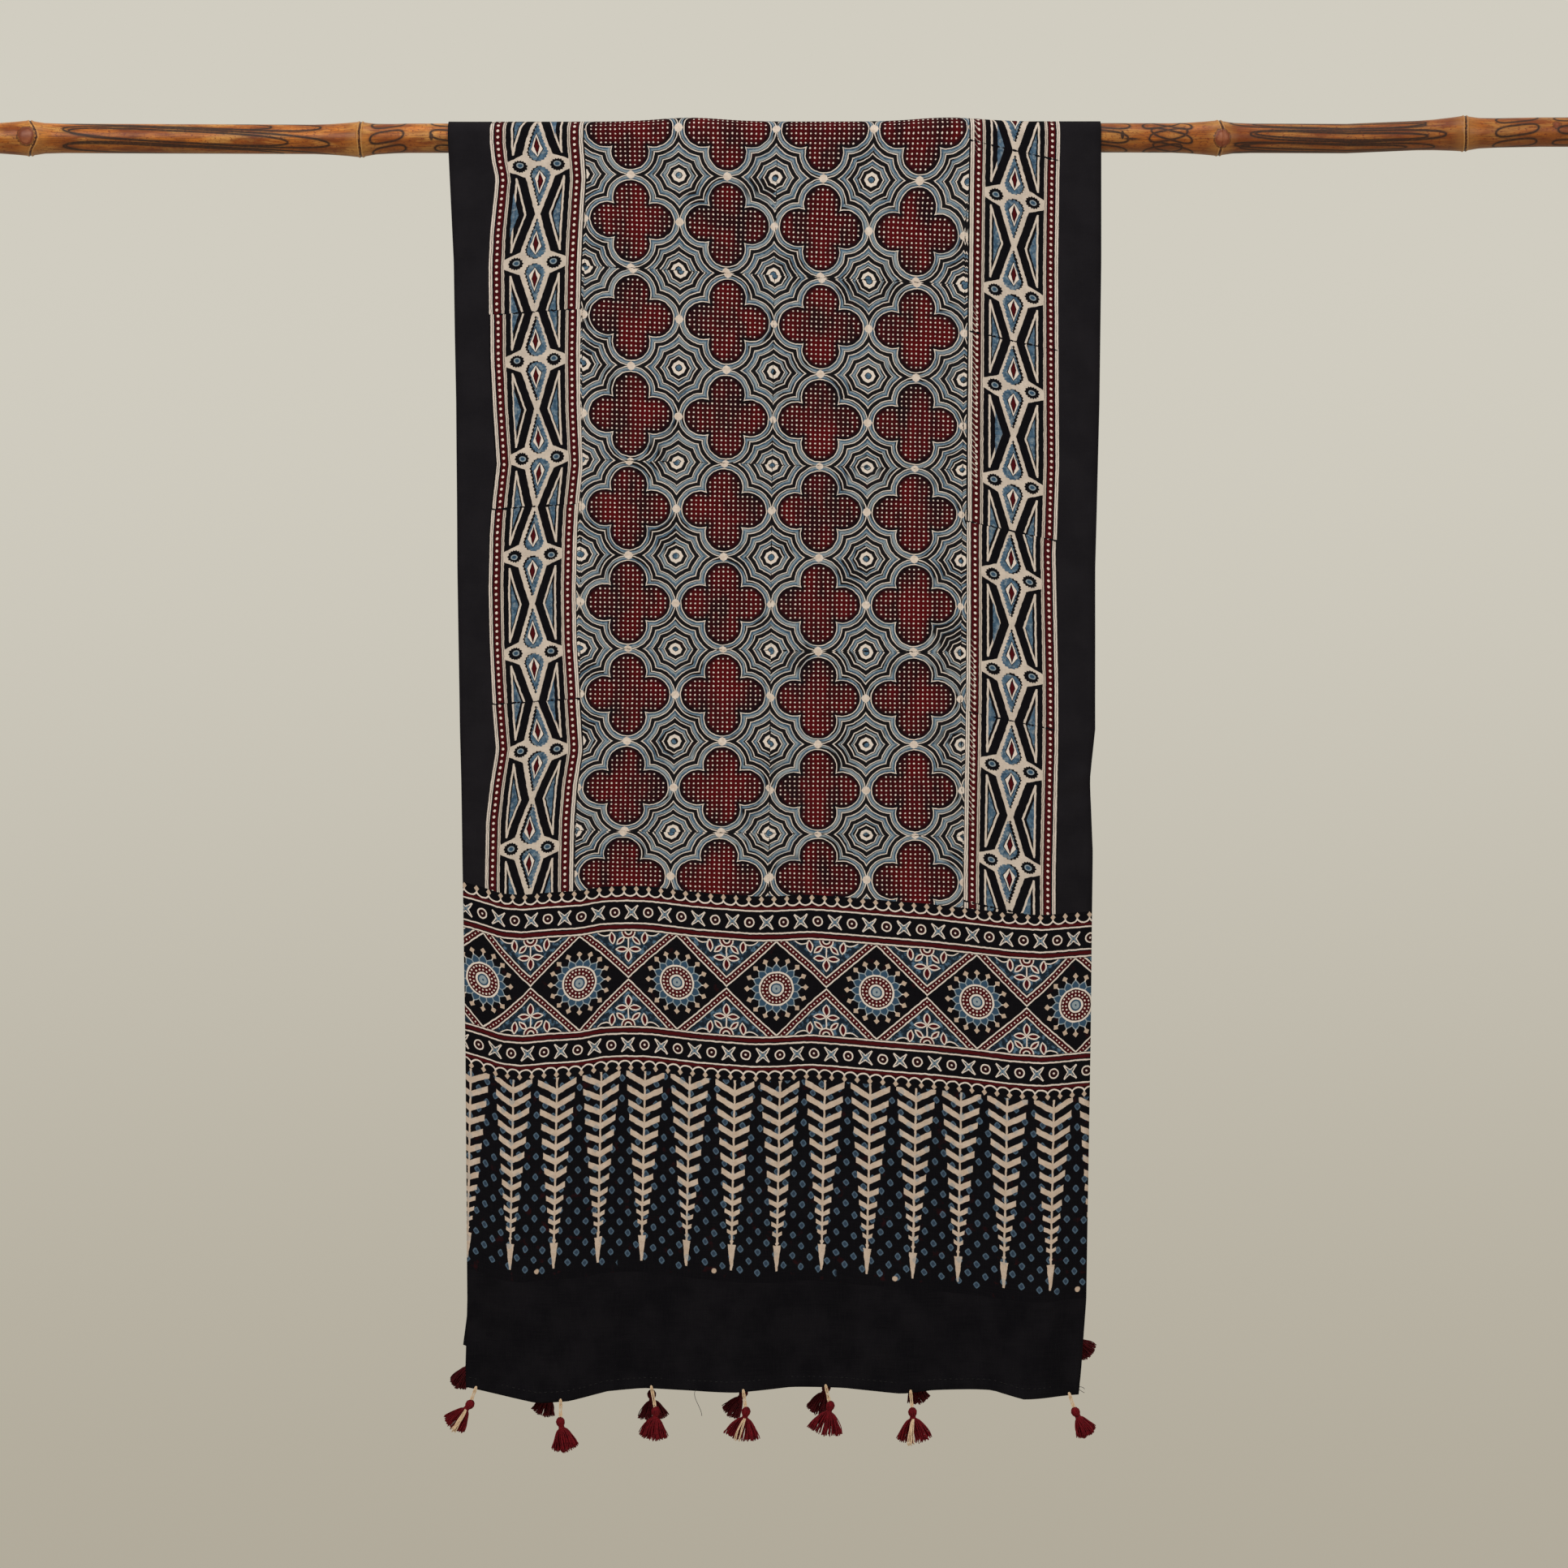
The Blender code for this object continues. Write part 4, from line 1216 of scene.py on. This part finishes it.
def make_stole():
    """The grid of the whole sheet, front hem to back hem, and for each of its parts the material and
    the map of that part of the print."""
    places = column_places()
    front, front_parts = drop_rows(
        places, FRONT_SECTIONS, FRONT_HEM, FRONT_FOLDS, FRONT_CREASES, front_end_line, -1, 3
    )
    back, back_parts = drop_rows(
        places, BACK_SECTIONS, BACK_HEM, BACK_FOLDS, BACK_CREASES, back_end_line, 1, 5
    )
    over = [arc_row(places, math.pi * step / ARC_ROWS) for step in range(ARC_ROWS + 1)]
    rows = front[::-1] + over + back
    points = np.array([row[0] for row in rows])
    thickness = np.array([row[1] for row in rows])
    x = points[..., 0]
    drop = np.array([row[2] for row in rows])
    behind = np.arange(len(rows)) >= len(front) + len(over)
    arc_length = radius_drop(math.pi)
    path = np.where(behind[:, None], -arc_length - drop, drop)
    maps = {"plain": (x, path)}
    maps["field"] = field_map(x, path)
    left, right = (border_map(x, path, stamp) for stamp in (LEFT_STAMP, RIGHT_STAMP))
    maps["side"] = [np.where(x < 0, low, high) for low, high in zip(left, right)]
    for name, mapped in (("band", band_map), ("leaves", leaf_map)):
        ahead, rear = mapped(x, drop, front_end_line), mapped(x, drop, back_end_line)
        maps[name] = [np.where(behind[:, None], r, a) for a, r in zip(ahead, rear)]
    row_part = np.array(front_parts[::-1] + [0] * (len(over) - 1) + back_parts)
    column_part = np.minimum(places[:-1].astype(int), 4)
    names = list(maps)
    upper = np.array([names.index(name) for name in ("plain", "side", "field", "side", "plain")])[column_part]
    lower = [names.index(name) for name in PARTS]
    which = np.array([upper if part == 0 else np.full(len(upper), lower[part]) for part in row_part])
    materials = {
        "plain": cotton("plain black cotton", plain_print),
        "field": cotton("ringed rosette print", field_print),
        "side": cotton("side border print", border_print),
        "band": cotton("end border print", band_print),
        "leaves": cotton("leaf print", leaf_print),
    }
    surface, faces = shell(points, thickness)
    stole = shaped("ajrakh_stole_cloth", surface, faces, [materials[name] for name in names])
    grid = which.ravel()
    rim = np.full(len(faces[2]), names.index("plain"))
    face_part = np.concatenate([grid, grid, rim]).astype(np.int32)
    stole.data.polygons.foreach_set("material_index", face_part)
    corners = corner_vertices(stole) % x.size
    table = np.array([[np.ravel(axis) for axis in maps[name]] for name in names])
    of_corner = np.repeat(face_part, 4)
    give_map(stole, np.stack([table[of_corner, axis, corners] for axis in (0, 1)], axis=-1))
    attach(stole, "root")
    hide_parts("ajrakh_stole")
    return stole, points


stole, cloth = make_stole()

# Thread loops and hem stitching
# Each tassel hangs on a loop of doubled cream thread that passes through the hem. The hems are
# stitched by hand in black thread, and a few ends of it hang loose.

THREAD_RADIUS = 0.42
PLY_OFFSET = 0.36
LOOP_HALF_WIDTH = 0.75
LOOP_STEPS = 60
LOOP_TWISTS = 9
LOOP_OVER_HEM = 2.2
HEAD_RADIUS = 4.0
STITCH_PITCH = 4.6
STITCH_LENGTH = 2.5
STITCH_RADIUS = 0.22
HEM_STITCH_RISE = 8.8
OUTWARD = {"front": -1.0, "back": 1.0}
HEM_ROWS = {"front": cloth[0], "back": cloth[-1]}

Tassel = namedtuple("Tassel", "side hem_x head_shift head_drop lean length half_width cream")
TASSELS = rows_of(Tassel,
    ("front", -260, -4.8, 13, -39, 25.5, 10.5, 7), ("front", -187.5, -0.3, 17, 12, 25, 11.5, 0),
    ("front", -111.5, 3.4, 19.5, -7, 24, 12.5, 0), ("front", -34, 2, 16.5, -11, 24, 15.5, 5),
    ("front", 35.5, 3.4, 15.7, -13, 24.5, 16, 0), ("front", 106.5, 1.4, 16.4, 4, 25.5, 15.5, 7),
    ("front", 240.5, 4.8, 14.3, 28, 23, 9, 0), ("back", -265.5, -0.7, 12.5, -31, 24.5, 8.5, 3),
    ("back", -197.5, -0.7, 11, -19, 21.5, 10, 4), ("back", -112, -0.7, 15, 4, 22, 13, 0),
    ("back", -34, -0.3, 12.3, -34, 23, 9, 0), ("back", 35.5, 0.3, 12.3, -20, 24, 11, 0),
    ("back", 110, -0.7, 12.3, 16, 22, 10, 0), ("back", 181.5, 0.3, 12.3, 2, 24.5, 8, 0),
    ("back", 243, 2, 11, 45, 22, 10, 0),
)


def tubes(paths, radius, sides, reference, closed=False):
    """Round tubes along many paths at once. Each ring stands square to its path, turned by the
    reference direction; radius may change along the path. Open ends are closed by a flat cap."""
    count, steps = paths.shape[:2]
    if closed:
        run = np.roll(paths, -1, axis=1) - np.roll(paths, 1, axis=1)
    else:
        run = np.gradient(paths, axis=1)
    run /= np.linalg.norm(run, axis=-1, keepdims=True)
    aside = np.cross(run, np.asarray(reference, dtype=float))
    aside /= np.linalg.norm(aside, axis=-1, keepdims=True)
    up = np.cross(aside, run)
    turn = np.arange(sides) * 2 * math.pi / sides
    ring = aside[:, :, None] * np.cos(turn)[:, None] + up[:, :, None] * np.sin(turn)[:, None]
    radius = np.broadcast_to(radius, (count, steps))
    points = paths[:, :, None] + ring * radius[:, :, None, None]
    one = grid_faces(steps, sides, wrap=True)
    if closed:
        last, first = (steps - 1) * sides, 0
        start = np.arange(sides)
        end = (start + 1) % sides
        one = np.concatenate([one, np.stack([last + start, last + end, first + end, first + start], axis=1)])
    base = np.arange(count)[:, None, None] * steps * sides
    faces = [(one + base).reshape(-1, 4)]
    if not closed:
        cap = np.arange(sides)
        faces.append((cap[::-1] + base).reshape(-1, sides))
        faces.append((cap + (steps - 1) * sides + base).reshape(-1, sides))
    return points, faces


def gathered(parts):
    """One piece's points and blocks of faces from several (points, faces) parts. Each part's faces
    are moved on past the points of those before it."""
    points, blocks, count = [], [], 0
    for part_points, faces in parts:
        points.append(part_points.reshape(-1, 3))
        blocks += [block + count for block in faces]
        count += len(points[-1])
    return np.concatenate(points), blocks


def yarn_material(name, colour, shade, roughness, sheen):
    """Yarn that runs lighter and darker along and between its strands, with a soft bloom of fibre."""
    values = {"Roughness": roughness, "Specular IOR Level": 0.2}
    values.update({"Sheen Weight": sheen, "Sheen Roughness": 0.4})
    material, shader = new_material(name, values)
    tree = material.node_tree
    place = placed(tree, "ShaderNodeTexCoord").outputs["Object"]
    lumps = placed(tree, "ShaderNodeTexNoise", vector=place, scale=900.0, detail=3.0)
    twist = placed(tree, "ShaderNodeTexNoise", vector=place, scale=260.0, detail=2.0)
    mask = (0.5 - Reading(lumps.outputs[0])).inside(0.35) * 0.6
    mask = mask + (0.5 - Reading(twist.outputs[0])).inside(0.4) * 0.4
    feed(shader.inputs["Base Color"], painted(shade, colour, mask))
    feed(shader.inputs["Normal"], relief(Reading(lumps.outputs[0]), 0.15, 0.6))
    return material


CREAM_THREAD = yarn_material("cream thread", seen(232, 208, 180), seen(200, 168, 132), 0.7, 0.1)
BLACK_THREAD = yarn_material("black thread", seen(42, 40, 42), seen(20, 19, 21), 0.75, 0.1)


def hem_point(tassel):
    """The place on the tassel's hem from which it hangs, in the middle of the cloth."""
    hem = HEM_ROWS[tassel.side]
    return np.array([tassel.hem_x] + [np.interp(tassel.hem_x, hem[:, 0], hem[:, i]) for i in (1, 2)])


def head_centre(tassel):
    """The middle of the tassel's head, below the hem and to one side by the table's values."""
    return hem_point(tassel) + np.array([tassel.head_shift, 0.0, -tassel.head_drop])


def make_loop(tassel, label):
    """A long oval of two-ply thread from the tassel's head to just over the hem's edge, on the
    cloth's outer face. The plies wind round the oval's line, half a turn apart."""
    hem, head = hem_point(tassel), head_centre(tassel)
    up = (hem - head) / np.linalg.norm(hem - head)
    aside = np.cross(up, (0.0, 1.0, 0.0))
    top, bottom = hem + up * LOOP_OVER_HEM, head + up * (HEAD_RADIUS - 2.6)
    turn = np.arange(LOOP_STEPS) * 2 * math.pi / LOOP_STEPS
    height = np.sign(np.cos(turn)) * np.abs(np.cos(turn)) ** 0.4
    middle, half = (top + bottom) / 2, np.linalg.norm(top - bottom) / 2
    line = middle + aside * (LOOP_HALF_WIDTH * np.sin(turn))[:, None] + up * (half * height)[:, None]
    over = smooth_step(-3.5, 0.5, (line - hem) @ up)
    line[:, 1] += OUTWARD[tassel.side] * (HEM_THICKNESS / 2 + PLY_OFFSET + THREAD_RADIUS + 0.15) * over
    run = np.roll(line, -1, axis=0) - np.roll(line, 1, axis=0)
    run /= np.linalg.norm(run, axis=1, keepdims=True)
    across = np.cross(run, (0.0, 1.0, 0.0))
    depth = np.cross(across, run)
    plies = []
    for phase in (0.0, math.pi):
        wind = turn * LOOP_TWISTS + phase
        plies.append(line + PLY_OFFSET * (across * np.cos(wind)[:, None] + depth * np.sin(wind)[:, None]))
    points, faces = tubes(np.array(plies), THREAD_RADIUS, 6, (0, 1, 0), closed=True)
    loop = shaped(f"thread_loop_{label}", points, faces, [CREAM_THREAD])
    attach(loop, "root")
    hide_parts(f"loop_{label}")
    return loop


LooseEnd = namedtuple("LooseEnd", "x rise run fall")
LOOSE_ENDS = rows_of(LooseEnd,
    (-73.7, 2, (0, -1.2, 2.2, 4.6), (0, 7, 15, 23)),
    (247.0, 5, (0, 2.0, 4.5, 6.0), (0, -1.5, -1.0, 0.5)),
    (247.5, 4, (0, 2.0, 3.5, 5.5), (0, 0.5, 1.5, 2.5)),
)


def make_stitching(side):
    """A row of short stitches a little way above one hem, on its outer face, and the loose ends."""
    row = HEM_ROWS[side]
    x = np.arange(row[0, 0] + 4, row[-1, 0] - 4, STITCH_PITCH)
    draw = np.random.default_rng(11)
    x = x + draw.uniform(-0.5, 0.5, len(x))
    at = np.linspace(-0.5, 0.5, 5)
    px = x[:, None] + at * STITCH_LENGTH
    pz = np.interp(px, row[:, 0], row[:, 2]) + HEM_STITCH_RISE + draw.uniform(-0.25, 0.25, len(x))[:, None]
    py = np.interp(px, row[:, 0], row[:, 1]) + OUTWARD[side] * (0.62 + 0.2 * (1 - (2 * at) ** 2))
    taper = STITCH_RADIUS * np.sqrt(np.clip(1.05 - (2 * at) ** 2, 0.05, 1))
    paths = np.stack([px, py, pz], axis=-1)
    parts = [tubes(paths, taper, 5, (0, 0, 1))]
    for end in LOOSE_ENDS if side == "front" else ():
        step = np.linspace(0, 3, 13)
        run, fall = (np.polyval(np.polyfit(range(4), bends, 3), step) for bends in (end.run, end.fall))
        py, pz = (np.interp(end.x, row[:, 0], row[:, axis]) for axis in (1, 2))
        path = np.stack([end.x + run, py - 1.4 - 0.3 * np.sin(step), pz + end.rise - fall], axis=-1)
        parts.append(tubes(path[None], 0.2, 4, (0, 1, 0.01)))
    stitches = shaped(f"hem_stitching_{side}", *gathered(parts), [BLACK_THREAD])
    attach(stitches, "root")
    return stitches


# Yarn tassels
# Each is a hank of madder-red cotton yarn, doubled over its loop and tied at the waist with the same
# yarn, so that it makes a small round head over a flared skirt. Some have a few cream strands laid in.

STRANDS = 136
STRAND_RADIUS = 0.48
STRAND_SIDES = 3
STRAND_ASIDE = (0.13, 1, 0.02)
HeadStep = namedtuple("HeadStep", "down radius")
HEAD_PROFILE = rows_of(HeadStep,
    (-3.9, 0.7), (-2.9, 2.3), (-0.8, 3.5), (1.6, 3.2), (3.6, 2.0), (4.8, 1.5),
)
SKIRT_STEPS = 7
SKIRT_DEPTH = 0.6
WAIST_TURNS = 3
RED_YARN = yarn_material("madder red yarn", seen(128, 11, 25), seen(66, 4, 12), 0.8, 0.0)
# The same madder yarn, darkened as painted shade for the tassels that hang behind the cloth.
SHADED_YARN = yarn_material("madder red yarn in painted shade", seen(92, 9, 19), seen(46, 4, 9), 0.8, 0.0)


def strand_paths(tassel, count, draw, spread=1.0, bias=0.0):
    """Each strand's line in the tassel's own upright frame: from the top of the head, out round it,
    in at the waist and out again to its tip. Tips fill an ellipse, flatter in depth than in width."""
    order = (np.arange(count) + 0.5) / count
    turn = np.arange(count) * 2.39996 + draw.uniform(0, 6.28)
    turn = turn + 0.22 * np.sin(6 * turn + draw.uniform(0, 6.28))
    fill = np.sqrt(order) ** 0.62 * spread
    head = np.array([[step.down, step.radius] for step in HEAD_PROFILE])
    shrink = (0.35 + 0.65 * fill)[:, None]
    ring = head[:, 1] * shrink
    x = ring * np.cos(turn)[:, None]
    y = ring * np.sin(turn)[:, None]
    z = -np.broadcast_to(head[:, 0], x.shape)
    reach = tassel.length * (1 - 0.16 * fill**2 * np.abs(np.cos(turn)) + draw.uniform(-0.05, 0.035, count))
    tip_x = tassel.half_width * fill * np.cos(turn) + bias
    tip_y = tassel.half_width * SKIRT_DEPTH * fill * np.sin(turn)
    share = np.linspace(0, 1, SKIRT_STEPS + 1)[1:]
    opening = share**0.62
    wave = np.sin(share * draw.uniform(3, 7, (count, 1)) + draw.uniform(0, 6.28, (count, 1))) * share * 0.7
    skirt_x = x[:, -1:] + (tip_x[:, None] - x[:, -1:]) * opening + wave
    skirt_y = y[:, -1:] + (tip_y[:, None] - y[:, -1:]) * opening + wave[::-1] * 0.6
    skirt_z = z[:, -1:] + (-reach[:, None] - z[:, -1:]) * share
    return np.stack([np.hstack([x, skirt_x]), np.hstack([y, skirt_y]), np.hstack([z, skirt_z])], axis=-1)


def waist_path():
    """The tie: a few close turns round the waist, which end where they began."""
    turn = np.linspace(0, 2 * math.pi * WAIST_TURNS, 14 * WAIST_TURNS)
    z = -4.2 - 0.5 * np.linspace(0, WAIST_TURNS, len(turn))
    return np.stack([2.15 * np.cos(turn), 1.9 * np.sin(turn), z], axis=-1)[None]


def make_tassel(tassel, label, seed):
    """The strands, any cream ones laid on the outer face, and the tie, leant as the tassel leans."""
    draw = np.random.default_rng(seed)
    parts = [(strand_paths(tassel, STRANDS, draw), STRAND_RADIUS, STRAND_SIDES, STRAND_ASIDE, 0)]
    if tassel.cream:
        bias = 0.25 * tassel.half_width * (1 if seed % 2 else -1)
        laid = strand_paths(tassel, tassel.cream, draw, spread=0.22, bias=bias)
        lift = np.linspace(0, 1, laid.shape[1]) ** 0.7
        depth = lift * tassel.half_width * SKIRT_DEPTH * 0.98 + 1.5
        laid[..., 1] = OUTWARD[tassel.side] * depth + laid[..., 1] * 0.2
        parts.append((laid[:, 5:], STRAND_RADIUS, STRAND_SIDES, STRAND_ASIDE, 1))
    parts.append((waist_path(), 0.45, 6, (0, 0, 1), 0))
    angle = math.radians(-tassel.lean)
    cos, sin = math.cos(angle), math.sin(angle)
    turned = np.array([[cos, 0, -sin], [0, 1, 0], [sin, 0, cos]])
    yarns = [tubes(*part[:4]) for part in parts]
    kinds = [np.full(len(block), part[4]) for part, (_, found) in zip(parts, yarns) for block in found]
    points, faces = gathered(yarns)
    points = points @ turned + head_centre(tassel)
    # Tassels behind the cloth take the yarn in painted shade.
    yarn = RED_YARN if tassel.side == "front" else SHADED_YARN
    piece = shaped(f"yarn_tassel_{label}", points, faces, [yarn, CREAM_THREAD])
    piece.data.polygons.foreach_set("material_index", np.concatenate(kinds).astype(np.int32))
    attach(piece, "root")
    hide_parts(f"tassel_{label}")
    return piece


trimmings = [make_stitching("front"), make_stitching("back")]
counts = {"front": 0, "back": 0}
for seed, tassel in enumerate(TASSELS, start=21):
    counts[tassel.side] += 1
    label = f"{tassel.side}_{counts[tassel.side]}"
    trimmings.append(make_loop(tassel, label))
    trimmings.append(make_tassel(tassel, label, seed))

# The studio
# A pale floor well below the stole, and plain pale air all round, a little lighter above, so that
# every side can be seen. Large soft lights stand in front, to the left, to the right and overhead.

PICTURE_WIDTH = 1319.6
PICTURE_CENTRE_Z = -545.7
CAMERA_DISTANCE = 3200
CLOTH_FACE_Y = -13.4
SENSOR_WIDTH = 36.0
FLOOR_Z = -2050
FLOOR_REACH = 3400
FLOOR_SIDES = 72
AIR_BELOW = seen(176, 169, 153)
AIR_ABOVE = seen(209, 205, 193)
LIGHT_COLOUR = (0.985, 0.99, 1.0)
AIR_TURN = 0.2
AIR_MIDDLE = -0.05


def make_floor():
    """A round flat floor: a fan of triangles about its middle."""
    side = np.arange(FLOOR_SIDES)
    turn = side * 2 * math.pi / FLOOR_SIDES
    rim = np.stack([FLOOR_REACH * np.cos(turn), FLOOR_REACH * np.sin(turn), 0 * turn + FLOOR_Z], axis=1)
    points = np.concatenate([[[0, 0, FLOOR_Z]], rim])
    faces = np.stack([0 * side, side + 1, (side + 1) % FLOOR_SIDES + 1], axis=1)
    material = new_material("pale floor", {"Base Color": seen(214, 209, 197), "Roughness": 0.95})[0]
    shaped("studio_floor", points, faces, [material])


def make_air():
    """The background: one soft change of tone from below the level of the eye to above it."""
    world = bpy.data.worlds.new("studio air")
    world.use_nodes = True
    tree = world.node_tree
    place = placed(tree, "ShaderNodeTexCoord").outputs["Generated"]
    height = placed(tree, "ShaderNodeSeparateXYZ", vector=place).outputs[2]
    rise = placed(
        tree, "ShaderNodeMapRange", interpolation_type="SMOOTHSTEP", value=height,
        from_min=AIR_MIDDLE - AIR_TURN, from_max=AIR_MIDDLE + AIR_TURN,
    )
    tone = painted(AIR_BELOW, AIR_ABOVE, Reading(rise.outputs[0]))
    feed(tree.nodes["Background"].inputs[0], tone)
    bpy.context.scene.world = world


def add_light(name, place, aim, size, power):
    """A square soft light at a place, turned to face its aim."""
    light = bpy.data.lights.new(name, "AREA")
    light.shape = "SQUARE"
    light.size = size * MM
    light.energy = power
    light.color = LIGHT_COLOUR
    lamp = bpy.data.objects.new(name, light)
    at, to = np.array(place, dtype=float), np.array(aim, dtype=float)
    direction = (to - at) / np.linalg.norm(to - at)
    lamp.location = at * MM
    turn = math.atan2(direction[1], direction[0]) - math.pi / 2
    lamp.rotation_euler = (math.acos(-direction[2]), 0.0, turn)
    bpy.context.scene.collection.objects.link(lamp)


make_floor()
make_air()
bpy.context.scene.view_settings.view_transform = "Standard"
add_light("key", (-1300, -2400, 1000), (0, 0, -450), 1500, 24)
add_light("fill", (1700, -2300, 300), (0, 0, -450), 1700, 12)
add_light("top", (0, -700, 1700), (0, 0, 0), 1300, 10)

lens_data = bpy.data.cameras.new("camera")
lens_data.sensor_width = SENSOR_WIDTH
lens_data.lens = SENSOR_WIDTH * CAMERA_DISTANCE / PICTURE_WIDTH
lens_data.clip_end = 50
camera = bpy.data.objects.new("camera", lens_data)
camera.location = (0.0, (CLOTH_FACE_Y - CAMERA_DISTANCE) * MM, PICTURE_CENTRE_Z * MM)
camera.rotation_euler = (math.pi / 2, 0.0, 0.0)
bpy.context.scene.collection.objects.link(camera)
bpy.context.scene.camera = camera
